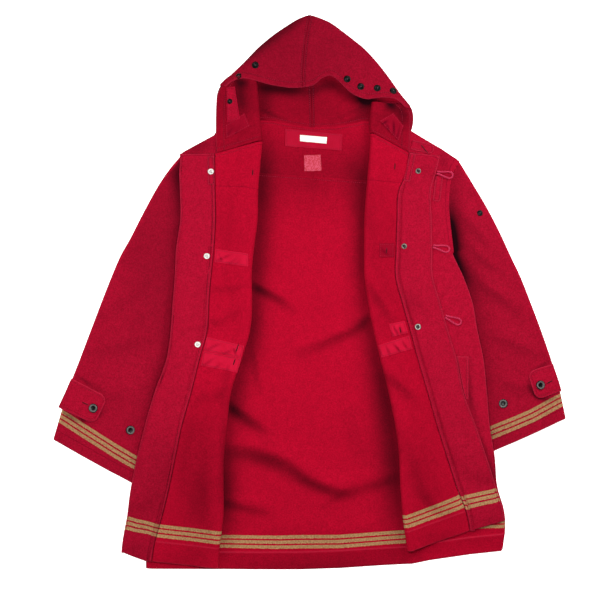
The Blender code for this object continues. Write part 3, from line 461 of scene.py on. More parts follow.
def stroke_sum(creases, x, y):
    """What all the strokes of a table add up to at places x, y."""
    lift = np.zeros(np.shape(x))
    for crease in creases:
        t = np.linspace(0, 1, 9)
        px = (1 - t) ** 2 * crease.x0 + 2 * t * (1 - t) * crease.x1 + t * t * crease.x2
        py = (1 - t) ** 2 * crease.y0 + 2 * t * (1 - t) * crease.y1 + t * t * crease.y2
        nearest, at = np.full(np.shape(x), FAR), np.zeros(np.shape(x))
        for i in range(8):
            dx, dy = px[i + 1] - px[i], py[i + 1] - py[i]
            s = np.clip(((x - px[i]) * dx + (y - py[i]) * dy) / (dx * dx + dy * dy), 0, 1)
            away = np.hypot(x - px[i] - s * dx, y - py[i] - s * dy)
            at = np.where(away < nearest, (i + s) / 8, at)
            nearest = np.minimum(nearest, away)
        taper = np.sin(math.pi * (0.10 + 0.80 * at))
        lift += crease.size * taper * np.exp(-((nearest / crease.width) ** 2))
    return lift


def painted_flank_shade(creases, x, y):
    """Painted shade: the colour is darker on the side of a crease that is turned away from the light."""
    ahead = stroke_sum(creases, x + FLANK_STEP * PAINTED_LIGHT_SIDE[0], y + FLANK_STEP * PAINTED_LIGHT_SIDE[1])
    return FLANK_SHADE * np.maximum(ahead - stroke_sum(creases, x, y), 0.0) / FLANK_STEP


WAVE_LENGTHS = (55, 190)
UNEVEN = {"back": (0.7, 3), "front": (0.8, 5), "sleeve": (0.9, 11), "crown": (0.8, 17), "flap": (0.6, 23)}


def uneven(name, x, y):
    """Soft unevenness of hand-laid cloth: a few long waves, the same on every run."""
    size, seed = UNEVEN[name]
    random = np.random.default_rng(seed)
    total = np.zeros(np.shape(x))
    for _ in range(8):
        angle = random.uniform(0, math.tau)
        length = random.uniform(*WAVE_LENGTHS)
        phase = random.uniform(0, math.tau)
        total += np.sin((x * math.cos(angle) + y * math.sin(angle)) / length * math.tau + phase)
    return size * total / 4


def outline_distance(outline, x, y):
    """Signed distance to a closed outline, positive inside it."""
    nearest, inside = np.full(np.shape(x), FAR), np.zeros(np.shape(x), bool)
    for (ax, ay), (bx, by) in zip(outline, outline[1:] + outline[:1]):
        dx, dy = bx - ax, by - ay
        t = np.clip(((x - ax) * dx + (y - ay) * dy) / (dx * dx + dy * dy), 0, 1)
        nearest = np.minimum(nearest, np.hypot(x - ax - t * dx, y - ay - t * dy))
        crossed = ((ay > y) != (by > y)) & (x < ax + (y - ay) / (dy or 1.0) * dx)
        inside ^= crossed
    return np.where(inside, nearest, -nearest)


def path_distance(path, x, y):
    """Signed distance to an open path, positive on the left of its direction."""
    nearest, sign = np.full(np.shape(x), FAR), np.ones(np.shape(x))
    for (ax, ay), (bx, by) in zip(path, path[1:]):
        dx, dy = bx - ax, by - ay
        t = np.clip(((x - ax) * dx + (y - ay) * dy) / (dx * dx + dy * dy), 0, 1)
        away = np.hypot(x - ax - t * dx, y - ay - t * dy)
        side = np.sign(dx * (y - ay) - dy * (x - ax))
        sign = np.where(away < nearest, side, sign)
        nearest = np.minimum(nearest, away)
    return nearest * sign


# ---------------------------------------------------------------- grids
Rules = namedtuple("Rules", "fixed share")


def spread(start, end, length, step=GRID):
    """Distances along a length that varies: fixed near both ends, evenly spread between them.

    Each is fixed + share * length. start and end are the distances measured from the two ends.
    """
    count = max(int((length - start[-1] - end[-1]) / step), 1)
    middle = np.arange(1, count) / count
    fixed = np.concatenate([start, start[-1] * (1 - middle) - end[-1] * middle, -np.array(end[::-1])])
    share = np.concatenate([np.zeros(len(start)), middle, np.ones(len(end))])
    return Rules(fixed, share)


def rounded(away, thickness):
    """Half the thickness at a distance from an edge that is rounded."""
    radius = thickness * 0.5
    t = 1 - np.clip(away / radius, 0, 1)
    return radius * np.sqrt(np.clip(1 - t * t, 0, 1))


def dip(away):
    return DIP * np.exp(-((away / DIP_WIDTH) ** 2))


def one_seam(away):
    """The map of a piece with one line of stitching, at this distance."""
    return np.dstack([away, np.full_like(away, FAR)])


class Cloth:
    """A closed shell round a middle surface given as rows and columns of points, in millimetres."""

    def __init__(self, middle, half, weave=None, seams=None, rim=None, shade=None, outside=0, wraps=False):
        self.middle, self.outside, self.wraps = middle, outside, wraps
        if wraps:
            across = np.roll(middle, -1, 1) - np.roll(middle, 1, 1)
        else:
            across = np.gradient(middle, axis=1)
        normal = np.cross(across, np.gradient(middle, axis=0))
        normal /= np.maximum(np.linalg.norm(normal, axis=2, keepdims=True), 1e-9)
        self.sides = (middle - normal * half[..., None], middle + normal * half[..., None])
        self.lit = (normal[..., 2] < 0.1, normal[..., 2] > -0.1)
        self.stitching = []
        shape = half.shape
        nothing = np.full(shape, FAR)
        rim = nothing if rim is None else rim
        shade = np.zeros(shape) if shade is None else shade / MM
        self.maps = (
            np.full((*shape, 2), -FAR) if weave is None else weave,
            np.stack([nothing, nothing], 2) if seams is None else seams,
            np.stack([rim, shade], 2),
        )

    def stitch(self, row=None, column=None, first=None, last=None):
        """Marks a line of topstitching along one row or column of the points on the upper side."""
        lines = [(side[row] if row is not None else side[:, column])[first:last] for side in self.sides]
        self.stitching.append(max(lines, key=lambda line: line[:, 2].mean()))

    def mesh_data(self):
        """Points, quads, each quad's side and the maps; the border's points are shared by both sides."""
        rows, columns = self.middle.shape[:2]
        face = np.arange(rows * columns).reshape(rows, columns)
        back = face + rows * columns
        back[0], back[-1] = face[0], face[-1]
        borders = np.zeros((rows, columns), bool)
        borders[0] = borders[-1] = True
        if not self.wraps:
            back[:, 0], back[:, -1] = face[:, 0], face[:, -1]
            borders[:, 0] = borders[:, -1] = True
        points = np.concatenate([side.reshape(-1, 3) for side in self.sides])
        points[:rows * columns][borders.ravel()] = self.middle[borders]
        if self.wraps:
            face, back = np.hstack([face, face[:, :1]]), np.hstack([back, back[:, :1]])
        quads = []
        for side, turn in ((face, 1), (back, -1)):
            corners = (side[:-1, :-1], side[1:, :-1], side[1:, 1:], side[:-1, 1:])
            quads.append(np.stack([c.ravel() for c in corners], 1)[:, ::turn])
        inside = np.repeat([self.outside, 1 - self.outside], len(quads[0]))
        quads = np.concatenate(quads)
        used = np.unique(quads)
        renumber = np.zeros(len(points), int)
        renumber[used] = np.arange(len(used))
        maps = [np.concatenate([m.reshape(-1, 2)] * 2)[used] for m in self.maps]
        # The painted shade is kept only on the sides that face up.
        maps[2][:, 1] *= np.concatenate([side.ravel() for side in self.lit])[used]
        return points[used], renumber[quads], inside, maps


def outward(points, quads):
    a, b, c, d = (points[quads[:, i]] for i in range(4))
    volume = np.sum(np.cross(b, c) * a) + np.sum(np.cross(c, d) * a)
    return quads if volume > 0 else quads[:, ::-1]


def show(name, data, slot, node=None):
    """Puts a finished piece on the coat's one body and, where it has a node, in that node's place."""
    obj = bpy.data.objects.new(name, data)
    bpy.context.collection.objects.link(obj)
    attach(obj, "root")
    if node:
        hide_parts(node)
    return obj


def make_piece(name, cloths, materials, slot, node=None):
    """One object from closed shells, with a material for the cloth's outside and one for its inside."""
    points, quads, insides, maps, start = [], [], [], [], 0
    for cloth in cloths:
        own_points, own_quads, own_inside, own_maps = cloth.mesh_data()
        quads.append(outward(own_points, own_quads) + start)
        points.append(own_points)
        insides.append(own_inside)
        maps.append(own_maps)
        start += len(own_points)
    points, quads = np.concatenate(points), np.concatenate(quads)
    mesh = bpy.data.meshes.new(name)
    mesh.from_pydata((points * MM).tolist(), [], quads.tolist())
    corners = quads.ravel()
    for i, map_name in enumerate(MAPS):
        layer = mesh.uv_layers.new(name=map_name)
        values = np.concatenate([own_maps[i] for own_maps in maps])
        layer.data.foreach_set("uv", (values[corners] * MM).ravel())
    mesh.shade_smooth()
    for material in materials:
        mesh.materials.append(material)
    if len(materials) > 1:
        mesh.polygons.foreach_set("material_index", np.concatenate(insides))
    return show(name, mesh, slot, node)


def height_over(trees):
    """A function that gives the highest point of some shapes above a place, or the floor."""

    def height(x, y):
        hits = [tree.ray_cast(Vector((x, y, ABOVE_ALL)), DOWN)[0] for tree in trees]
        return max([hit.z for hit in hits if hit is not None], default=0.0)

    return height


def surface(cloths):
    """The highest point of some cloths above a place."""
    shells = [cloth.mesh_data() for cloth in cloths]
    return height_over([BVHTree.FromPolygons(shell[0].tolist(), shell[1].tolist()) for shell in shells])


# ---------------------------------------------------------------- body
class Sleeve:
    """One flattened sleeve in plan."""

    def __init__(self, rings, sign):
        self.rings, self.sign = rings, sign
        self.read = {name: by_index(rings, name) for name in Ring._fields}
        lower = rings[1:]
        self.outline = [(r.outer_x, r.outer_y) for r in lower] + [(r.inner_x, r.inner_y) for r in lower[::-1]]
        x, y = self.place(np.zeros(9), np.linspace(0, 1, 9))
        self.armhole = sorted(zip(y.tolist(), x.tolist()))
        self.whole = list(zip(x.tolist(), y.tolist()))[::-1] + self.outline

    def place(self, along, across):
        across = np.clip(across, 0, 1)
        bow = self.read["bow"](along) * np.sin(math.pi * across ** ARMHOLE_SKEW)
        x = mix(self.read["outer_x"](along), self.read["inner_x"](along), across) + bow
        return x, mix(self.read["outer_y"](along), self.read["inner_y"](along), across)

    def carry(self, x, y):
        """How high the sleeve lifts the body that lies over it."""
        away = outline_distance(self.outline, x, y)
        near = smooth((away + RISE_START) / (RISE_START - RISE_END))
        below = smooth((ARMHOLE_HIGH - y) / (ARMHOLE_HIGH - ARMHOLE_LOW))
        return (SLEEVE_HEIGHT + 2 * SEAM) * near * below

    def top(self, x, y):
        """How high cloth lies that falls onto the sleeve or, beyond it, to the floor."""
        away = outline_distance(self.whole, x, y)
        return (SLEEVE_HEIGHT + 2 * SEAM) * smooth((away + RISE_START) / (RISE_START - RISE_END))


class Side:
    """One half of the body: its lines in plan, as functions of height and of the stop across."""

    def __init__(self, stations, borders, sleeve, creases):
        self.sign, self.sleeve, self.creases = sleeve.sign, sleeve, creases
        self.stops = [border.stop for border in borders]
        at = [station.y for station in stations]
        self.line = {name: Line(at, [getattr(s, name) for s in stations]) for name in self.stops}
        self.side_stop = self.stops.index("side") + 1.0
        self.edge_stop = self.stops.index("edge") + 1.0
        self.borders = borders

    def side_x(self, y):
        heights, across = zip(*self.sleeve.armhole)
        armhole = np.interp(y, heights, across) + self.sign * ARMHOLE_OVERLAP
        return np.where(y <= heights[0], self.line["side"](y), armhole)

    def x(self, stop, y):
        fold = self.line["fold"](y)
        places = [fold, fold + self.sign * FOLD_DEPTH]
        places += [self.side_x(y) if name == "side" else self.line[name](y) for name in self.stops[1:]]
        stop = np.broadcast_to(stop, np.shape(y))
        i = np.minimum(stop.astype(int), 3)
        return mix(np.choose(i, places[:4]), np.choose(i, places[1:]), stop - i)

    def border(self, stop, name):
        values = [getattr(border, name) for border in self.borders]
        return np.interp(stop, range(5), values[:1] + values)


left_sleeve, right_sleeve = Sleeve(LEFT_SLEEVE, -1), Sleeve(RIGHT_SLEEVE, 1)
LEFT = Side(LEFT_STATIONS, LEFT_BORDERS, left_sleeve, LEFT_FRONT_CREASES)
RIGHT = Side(RIGHT_STATIONS, RIGHT_BORDERS, right_sleeve, RIGHT_FRONT_CREASES)


def back_middle(x, y):
    floor = np.maximum(left_sleeve.carry(x, y), right_sleeve.carry(x, y))
    lift = stroke_sum(BACK_CREASES, x, y) + uneven("back", x, y) * smooth((y + 560) / 60)
    return floor + np.maximum(lift, 0.0) + CLOTH / 2


def lower_middle(x, y):
    return back_middle(x, y) + CLOTH + SEAM


def upper_middle(side, x, y):
    away = np.abs(x - side.line["fold"](y)) - FOLD_DEPTH
    loft = FOLD_LOFT * (1 - smooth(away / FOLD_LOFT_REACH))
    lift = np.maximum(stroke_sum(side.creases, x, y) + uneven("front", x, y), 0.0)
    return lower_middle(x, y) + CLOTH + SEAM + loft + lift


def band_middle(side, x, y):
    """A band lies on the front, on the sleeve beyond it, or comes down to the floor."""
    seam_x = side.side_x(y)
    beyond = np.maximum((x - seam_x) * side.sign, 0.0)
    ground = side.sleeve.top(x, y) + CLOTH / 2
    at_seam = upper_middle(side, np.where(beyond > 0, seam_x, x), y)
    low = np.where(beyond > 0, mix(at_seam, ground, smooth(beyond / DROOP)), at_seam)
    return np.maximum(low, ground) + (BAND_CLOTH - CLOTH) / 2


STRIPE_RISE = {  # how much higher the stripes of a piece run than their usual distance from the hem, by x
    "back_panel": (
        (-174, 1.5), (-60, -1.0), (-19, -0.4), (61, -2.5), (189, 0.0), (300, 9.0), (350, 8.0), (385, 5.0),
    ),
    "band_left": ((-370, -4.4), (-326, 5.3), (-299, -1.4)),
    "band_right": ((307, -2.5), (372, -6.5)),
    "sleeve_left": ((0, 9.0), (150, 0.0)),  # measured along the cuff from its outer corner
    "sleeve_right": ((0, 2.0), (60, -2.0), (150, 0.0)),
}
# The same for the right front's lower layer. Its outermost strip is plain.
LOWER_RISE = ((345, 18.0), (360, 18.0), (363, -200.0))


def hem_maps(name, across, above, rise=None):
    """The stripes' map: millimetres across and, from 0 to the stripes' full width, above the lowest one."""
    rise = STRIPE_RISE.get(name, ((0, 0.0), (1, 0.0))) if rise is None else rise
    places, heights = zip(*rise)
    return np.dstack([across, above - HEMS[name].stripes - np.interp(across, places, heights)])


# A painted highlight runs along a turned-up hem's cut edge, weaker than along a free edge:
FACING_HIGHLIGHT_OFFSET = 0.5  # how much less pale its cut edge is than a free edge, as a distance
FACING_STEP = 0.35
FACING_RIDGE, FACING_RIDGE_IN = 0.5, 1.6  # the ridge's height, and how far below the cut edge it lies


def facing_line(name, above):
    """Distance to the cut edge of a turned-up hem, for its painted highlight, with what keeps that highlight
    weaker than a free edge's.
    """
    top = HEMS[name].facing
    return np.abs(above - top) + FACING_HIGHLIGHT_OFFSET if top else np.full(np.shape(above), FAR)


def facing_step(name, above):
    """Extra half thickness of a turned-up hem, with the ridge of its top edge."""
    top = HEMS[name].facing
    if not top:
        return 0.0
    ridge_away = (above - top + FACING_RIDGE_IN) / 1.5
    return FACING_STEP * (1 - smooth((above - top) / 2)) + FACING_RIDGE * np.exp(-(ridge_away ** 2))


# Usual lengths of the pieces, which set how many rows or columns of points they have.
FRONT_LENGTH, BAND_LENGTH, BACK_LENGTH, YOKE_LENGTH, SLEEVE_LENGTH = 850, 800, 780, 110, 620.0
ROLL_STEPS = 9  # round a fold
# Columns of points from one stop across a side to the next.
FRONT_INNER, FRONT_OUTER = 14, (11, 8)
BACK_CENTRE, BACK_INNER, BACK_OUTER = 2, 10, (9, 7)
BAND_INNER, BAND_OUTER = 10, 2
SEAM_RIDGE = 2.4  # the band's seam allowance makes a ridge this far from its seam
# The band's seam-allowance ridge carries a painted highlight, weaker than a free edge's:
SEAM_RIDGE_HIGHLIGHT_OFFSET = 1.0  # how much less pale the ridge is than a free edge, as a distance
SEAM_SHADE, SEAM_SHADE_WIDTH = 0.8, 1.1
SEAM_LIFT, SEAM_LIFT_WIDTH = 0.5, 4.5
HEM_POINTS = (0.0, 0.3, 1.0, 2.2, 6.0, 30.0, 32.4, 34.0, 36.0, 38.0, 39.4, 41.0, 43.0, 46.0)


def body_grid(side, columns, top, bottom, rows, seam=None):
    """Plan of a body panel from its columns (stop, offset): places, distance down and distance up.

    seam is a function that moves the top line to its seam with the next piece.
    """
    stops, offsets = np.array(columns).T
    high, low = side.border(stops, top), side.border(stops, bottom)
    if seam:
        high = seam(high, stops, side.x(stops, high) + side.sign * offsets)
    down = rows.fixed[:, None] + rows.share[:, None] * (high - low)
    y = high - down
    return side.x(stops, y) + side.sign * offsets, y, down, high - low - down


def columns_between(start, end, count, start_rim=(), end_rim=()):
    """Columns from one stop to another, with those of rounded or stitched edges measured from the ends."""
    columns = [(start, distance) for distance in start_rim]
    first = 1 if start_rim else 0
    last = count if end_rim else count + 1
    inner = [(mix(start, end, i / count), 0.0) for i in range(first, last)]
    return columns + inner + [(end, -distance) for distance in end_rim[::-1]]


def outer_columns(side, count, last_count):
    """Columns from the band's line to the side seam, which is the third or the fourth stop."""
    if side.side_stop == 3.0:
        return columns_between(2.0, 3.0, count, (), RIM)[1:]
    return columns_between(2.0, 3.0, count)[1:] + columns_between(3.0, 4.0, last_count, (), RIM)[1:]


FRONT_YOKES = {  # the yoke seam across each front's upper layer
    "front_left": ((-215, 211.6), (-135, 210), (-97, 203)),
    "front_right": ((104, 224), (196, 216.5)),
}
FRONT_SEAMS = {  # short seams on the fronts' outside, each from end to end
    "front_left": (),
    "front_right": (
        ((276, 271), (273, 250)), ((268.5, 265), (266, 248)),
        ((300, -115.6), (323, -115.6)), ((317, -144), (349, -144)),
    ),
}


def seam_distance(seams, x, y):
    """Distance to the nearest of some seams."""
    away = [np.abs(path_distance(seam, x, y)) for seam in seams]
    return np.minimum.reduce(away) if away else np.full(np.shape(x), FAR)


def make_front(name, side):
    """Lower layer outside-up, the fold's roll, and the upper layer inside-up to the seam, in one sheet."""
    rows = spread(STITCHED, HEM_POINTS, FRONT_LENGTH)
    lower_columns = columns_between(1.0, 2.0, FRONT_INNER) + outer_columns(side, *FRONT_OUTER)
    x, y, down, up = body_grid(side, lower_columns[::-1], "lower", "front_hem", rows)
    edge = np.minimum(np.abs(x - x[:, :1]), np.minimum(down, up))
    lower = np.dstack([x, y, lower_middle(x, y), rounded(edge, CLOTH), up])

    upper_columns = columns_between(1.0, 2.0, FRONT_INNER, (), RIM)
    x, y, down, up = body_grid(side, upper_columns, "upper", "front_hem", rows)
    edge = np.minimum(np.abs(x - x[:, -1:]), np.minimum(down, up))
    half = rounded(edge, CLOTH) + facing_step(name, up) * smooth(edge / 2)
    upper = np.dstack([x, y, upper_middle(side, x, y), half, up])

    roll = []
    start, end = lower[:, -1], upper[:, 0]
    for i in range(1, ROLL_STEPS):
        angle = math.pi * (i / ROLL_STEPS - 0.5)
        point = mix(start, end, i / ROLL_STEPS)
        point[:, 2] = mix(start[:, 2], end[:, 2], (1 + math.sin(angle)) / 2)
        point[:, 0] -= side.sign * (FOLD_DEPTH - CLOTH / 2) * math.cos(angle)
        roll.append(point)
    sheet = np.concatenate([lower, np.stack(roll, 1), upper], 1)
    x, y, half, up = (sheet[..., i] for i in (0, 1, 3, 4))
    lower_run = lower.shape[1]
    weave = hem_maps(name, x, up)
    if side is RIGHT:
        weave[:, :lower_run] = hem_maps(name, x[:, :lower_run], up[:, :lower_run], LOWER_RISE)
    on_upper = np.arange(x.shape[1]) >= lower_run + ROLL_STEPS // 2
    outer = np.abs(x - x[:, :1])
    at_armhole = y > side.sleeve.armhole[0][0]
    yoke = np.where(on_upper, path_distance(FRONT_YOKES[name], x, y), seam_distance(FRONT_SEAMS[name], x, y))
    neck = np.where(on_upper, y[0] - y - STITCH_IN, FAR)
    neck = np.where(~on_upper & at_armhole, outer - ARMHOLE_STITCH, neck)
    rim = np.minimum(np.where(on_upper | at_armhole, FAR, outer), up)
    rim = np.where(on_upper, np.minimum(rim, facing_line(name, up)), rim)
    shade = stroke_sum(PAINTED_SHADOWS[name], x, y) + painted_flank_shade(side.creases, x, y)
    shade = np.where(on_upper, shade, stroke_sum(PAINTED_SHADOWS[name + "_lower"], x, y))
    cloth = Cloth(sheet[..., :3], half, weave, np.dstack([yoke, neck]), rim, shade, 0 if side is LEFT else 1)
    cloth.stitch(row=STITCH_POINT, first=lower_run + ROLL_STEPS)
    return cloth


def make_band(name, side):
    rows = spread(RIM, RIM + (6.0,), BAND_LENGTH)
    if side.edge_stop == 3.0:
        columns = columns_between(2.0, 3.0, BAND_INNER, STITCHED, RIM_STITCHED)
    else:
        columns = columns_between(2.0, 3.0, BAND_INNER, STITCHED)
        columns += columns_between(3.0, 4.0, BAND_OUTER, (), RIM_STITCHED)[1:]
    x, y, down, up = body_grid(side, columns, "upper", "front_hem", rows)
    x[:, 0] += side.sign * SEAM
    inner, outer = np.abs(x - x[:, :1]), np.abs(x - x[:, -1:])
    z = band_middle(side, x, y) + SEAM_LIFT * np.exp(-((inner / SEAM_LIFT_WIDTH) ** 2))
    edge = np.minimum(np.minimum(inner, outer), np.minimum(down, up))
    half = rounded(edge, BAND_CLOTH) - dip(inner - STITCH_IN) * smooth(down / 4)
    half -= 0.6 * dip(outer - RIM_STITCH) * smooth(edge / 2)
    weave = hem_maps(name, x, up)
    free = np.minimum(outer, down)
    seams = np.dstack([inner - STITCH_IN, free - RIM_STITCH])
    rim = np.minimum(np.minimum(free, up), np.abs(inner - SEAM_RIDGE) + SEAM_RIDGE_HIGHLIGHT_OFFSET)
    shade = stroke_sum(PAINTED_SHADOWS[name], x, y) + painted_flank_shade(side.creases, x, y)
    shade += SEAM_SHADE * np.exp(-((inner / SEAM_SHADE_WIDTH) ** 2))
    cloth = Cloth(np.dstack([x, y, z]), half, weave, seams, rim, shade)
    cloth.stitch(column=STITCH_POINT, first=2, last=-2)
    cloth.stitch(column=-1 - RIM_POINT, first=2, last=-2)
    return cloth


# How much lower the back's hem lies between the fronts, by x, and how far above it that fades out.
HEM_SAG = ((-176, 0.0), (-110, 3.0), (-20, 6.0), (60, 6.0), (150, 3.0), (210, 2.0), (240, 0.0))
HEM_SAG_REACH = 150
CENTRE_COLUMNS = 36


def neck_line(x):
    """The back's neck edge follows the hood's neck seam."""
    ribs = LEFT_HOOD[::-1] + RIGHT_HOOD[1:]
    return np.interp(x, [rib.neck_x for rib in ribs], [rib.neck_y for rib in ribs]) + SEAM_OVERLAP


def yoke_top(high, stops, x):
    return np.where(stops <= 2.0, neck_line(x), high)


def panel_top(high, *_):
    return high + SEAM_OVERLAP


def make_back(name, top, bottom):
    """The back between two borders, from the left side to the right one."""
    hemmed = bottom == "back_hem"
    rows = spread(STITCHED, HEM_POINTS, BACK_LENGTH) if hemmed else spread(STITCHED, RIM, YOKE_LENGTH)
    parts = []
    for side in (LEFT, RIGHT):
        columns = columns_between(0.0, 1.0, BACK_CENTRE) + columns_between(1.0, 2.0, BACK_INNER)[1:]
        columns = (columns + outer_columns(side, *BACK_OUTER))[::side.sign]
        seam = panel_top if hemmed else yoke_top
        parts.append(np.array(body_grid(side, columns, top, bottom, rows, seam)))
    left, right = parts
    centre = mix(left[..., -1:], right[..., :1], np.arange(1, CENTRE_COLUMNS) / CENTRE_COLUMNS)
    if not hemmed:
        x, y, _, up = centre
        high, low = neck_line(x), y - up
        down = rows.fixed[:, None] + rows.share[:, None] * (high - low)
        centre = (x, high - down, down, high - low - down)
    x, y, down, up = np.concatenate([left, centre, right], 2)
    if hemmed:
        places, depths = zip(*HEM_SAG)
        y = y - np.interp(x, places, depths) * (1 - smooth(up / HEM_SAG_REACH))
    z = back_middle(x, y)
    edge = np.minimum(np.minimum(x - x[:, :1], x[:, -1:] - x), np.minimum(down, up))
    half = rounded(edge, CLOTH)
    weave, rim = None, None
    if hemmed:
        facing = facing_step(name, up) * smooth(edge / 2)
        half, z = half + facing, z + facing
        weave, rim = hem_maps(name, x, up), np.minimum(up, facing_line(name, up))
    else:
        half = half - dip(down - STITCH_IN) * smooth(edge / 2)
    shade = stroke_sum(PAINTED_SHADOWS["back_panel"], x, y) + painted_flank_shade(BACK_CREASES, x, y) + PIECE_PAINTED_SHADES.get(name, 0.0)
    cloth = Cloth(np.dstack([x, y, z]), half, weave, one_seam(down - STITCH_IN), rim, shade, 1)
    cloth.stitch(row=STITCH_POINT, first=2, last=-2)
    return cloth


# ---------------------------------------------------------------- sleeves
SLEEVE_FLAT, SLEEVE_TURN = 34, 8  # steps over a sleeve's flat sides and round its edges
SLEEVE_ROLL = 7.0  # width of its rolled edges
CLEAR_START, CLEAR_WIDTH = 4, 46  # it rises to its full height outside the body within these distances
PUFF_REACH, WRINKLE_REACH = 70, 16  # the same, measured in from its own edges


def make_sleeve(name, sleeve, side):
    """A flattened tube, round at its edges and puffed along its middle, open at armhole and cuff."""
    last = len(sleeve.rings) - 1
    cuff = sleeve.rings[-1]
    ends = spread(RIM, RIM + (6.0,), SLEEVE_LENGTH)
    along = (ends.fixed / SLEEVE_LENGTH + ends.share) * last
    flat = np.arange(SLEEVE_FLAT + 1) / SLEEVE_FLAT
    turn = math.pi * (np.arange(1, SLEEVE_TURN) / SLEEVE_TURN - 0.5)
    beyond = np.concatenate([0 * flat, np.cos(turn), 0 * flat, -np.cos(turn)])
    across = np.concatenate([flat, 0 * turn + 1, 1 - flat, 0 * turn])
    heights = np.concatenate([0 * flat - 1, np.sin(turn), 0 * flat + 1, -np.sin(turn)])
    outer = np.stack(sleeve.place(along, np.zeros_like(along)), 1)
    inner = np.stack(sleeve.place(along, np.ones_like(along)), 1)
    width = np.linalg.norm(inner - outer, axis=1)[:, None]
    place = (SLEEVE_ROLL + across * (width - 2 * SLEEVE_ROLL) + beyond * SLEEVE_ROLL) / width
    x, y = sleeve.place(along[:, None], place)
    from_edge = np.minimum(place, 1 - place) * width
    outside = (x - side.line["edge"](y)) * sleeve.sign
    outside = np.minimum(outside, (x - side.side_x(y)) * sleeve.sign)
    clear = smooth((outside - CLEAR_START) / CLEAR_WIDTH)
    on_top = heights > 0.9
    puff = SLEEVE_PUFF * smooth(from_edge / PUFF_REACH) * clear - SLEEVE_HOLLOW * (1 - clear)
    wrinkles = stroke_sum(SLEEVE_CREASES, x, y) + uneven("sleeve", x, y)
    wrinkles = wrinkles * smooth(from_edge / WRINKLE_REACH) * clear
    z = SLEEVE_HEIGHT / 2 + (SLEEVE_HEIGHT - CLOTH) / 2 * heights
    z = z + np.maximum(puff + wrinkles, -SLEEVE_HOLLOW) * on_top
    shade = Line(*zip(*VALLEY_SHADOWS[name]))(y) * np.exp(-((np.maximum(outside, 0) / VALLEY_SHADOW_WIDTH) ** 2))
    shade = shade + stroke_sum(PAINTED_SHADOWS[name], x, y) + painted_flank_shade(SLEEVE_CREASES, x, y) * clear
    shade = (shade + PIECE_PAINTED_SHADES["sleeve"]) * on_top
    way = np.array([cuff.inner_x - cuff.outer_x, cuff.inner_y - cuff.outer_y], float)
    way /= np.linalg.norm(way)
    up = np.abs((x - cuff.outer_x) * way[1] - (y - cuff.outer_y) * way[0])
    ends_away = np.minimum(along, last - along)[:, None] / last * SLEEVE_LENGTH
    half = rounded(ends_away, CLOTH) + 0.0 * x
    weave = hem_maps(name, (x - cuff.outer_x) * way[0] + (y - cuff.outer_y) * way[1], up)
    inside = 1 if side is LEFT else 0
    return Cloth(np.dstack([x, y, z]), half, weave, one_seam(up - CUFF_FACING), up, shade, inside, True)


# ---------------------------------------------------------------- hood
CROWN_RIDGE = ((-140, 446), (-129, 455.6), (-91, 481.6), (-66, 494.4), (-27, 526.2), (-3, 553.6))
CROWN_RIDGE_HEIGHT = 7.0
CROWN_STEEP, CROWN_GENTLE = 13, 90  # how far its two sides reach
CROWN_LOW, CROWN_HIGH, CROWN_FADE = 432, 560, 40  # it fades out towards these heights
# Usual lengths: along the neck seam, from it to the crown's edge, and from there to the mouth.
HOOD_SEAM, HOOD_HEIGHT, HOOD_DEPTH = 200, 200, 130
CENTRE_POINTS = RIM + (CENTRE_STITCH, 7.0)
# How far from the centre seam a line looks darker, how wide it is and how dark: the seam and its stitching.
CENTRE_SHADES = ((0.0, 1.2, 0.16), (CENTRE_STITCH, 1.1, 0.34))
FLAP_HEIGHT, FLAP_WIDTH = 125, 85  # the same for a turned-back side
FLAP_GRID = 4.0
FLAP_INWARD, FLAP_ROLL_STEPS = 12, 7


def line_of(rows, name, at):
    """Places along one of the lines in a table of ribs."""
    return np.stack([by_index(rows, name + axis)(at) for axis in ("_x", "_y")], 1)


def crown_shape(x, y):
    """The crown stands up along a ridge on its left and falls off steeply outside it."""
    away = path_distance(CROWN_RIDGE, x, y)
    along = smooth((CROWN_HIGH - y) / CROWN_FADE) * smooth((y - CROWN_LOW) / CROWN_FADE)
    reach = np.where(away > 0, CROWN_STEEP, CROWN_GENTLE)
    return CROWN_RIDGE_HEIGHT * along * (1 - smooth(np.abs(away) / reach))


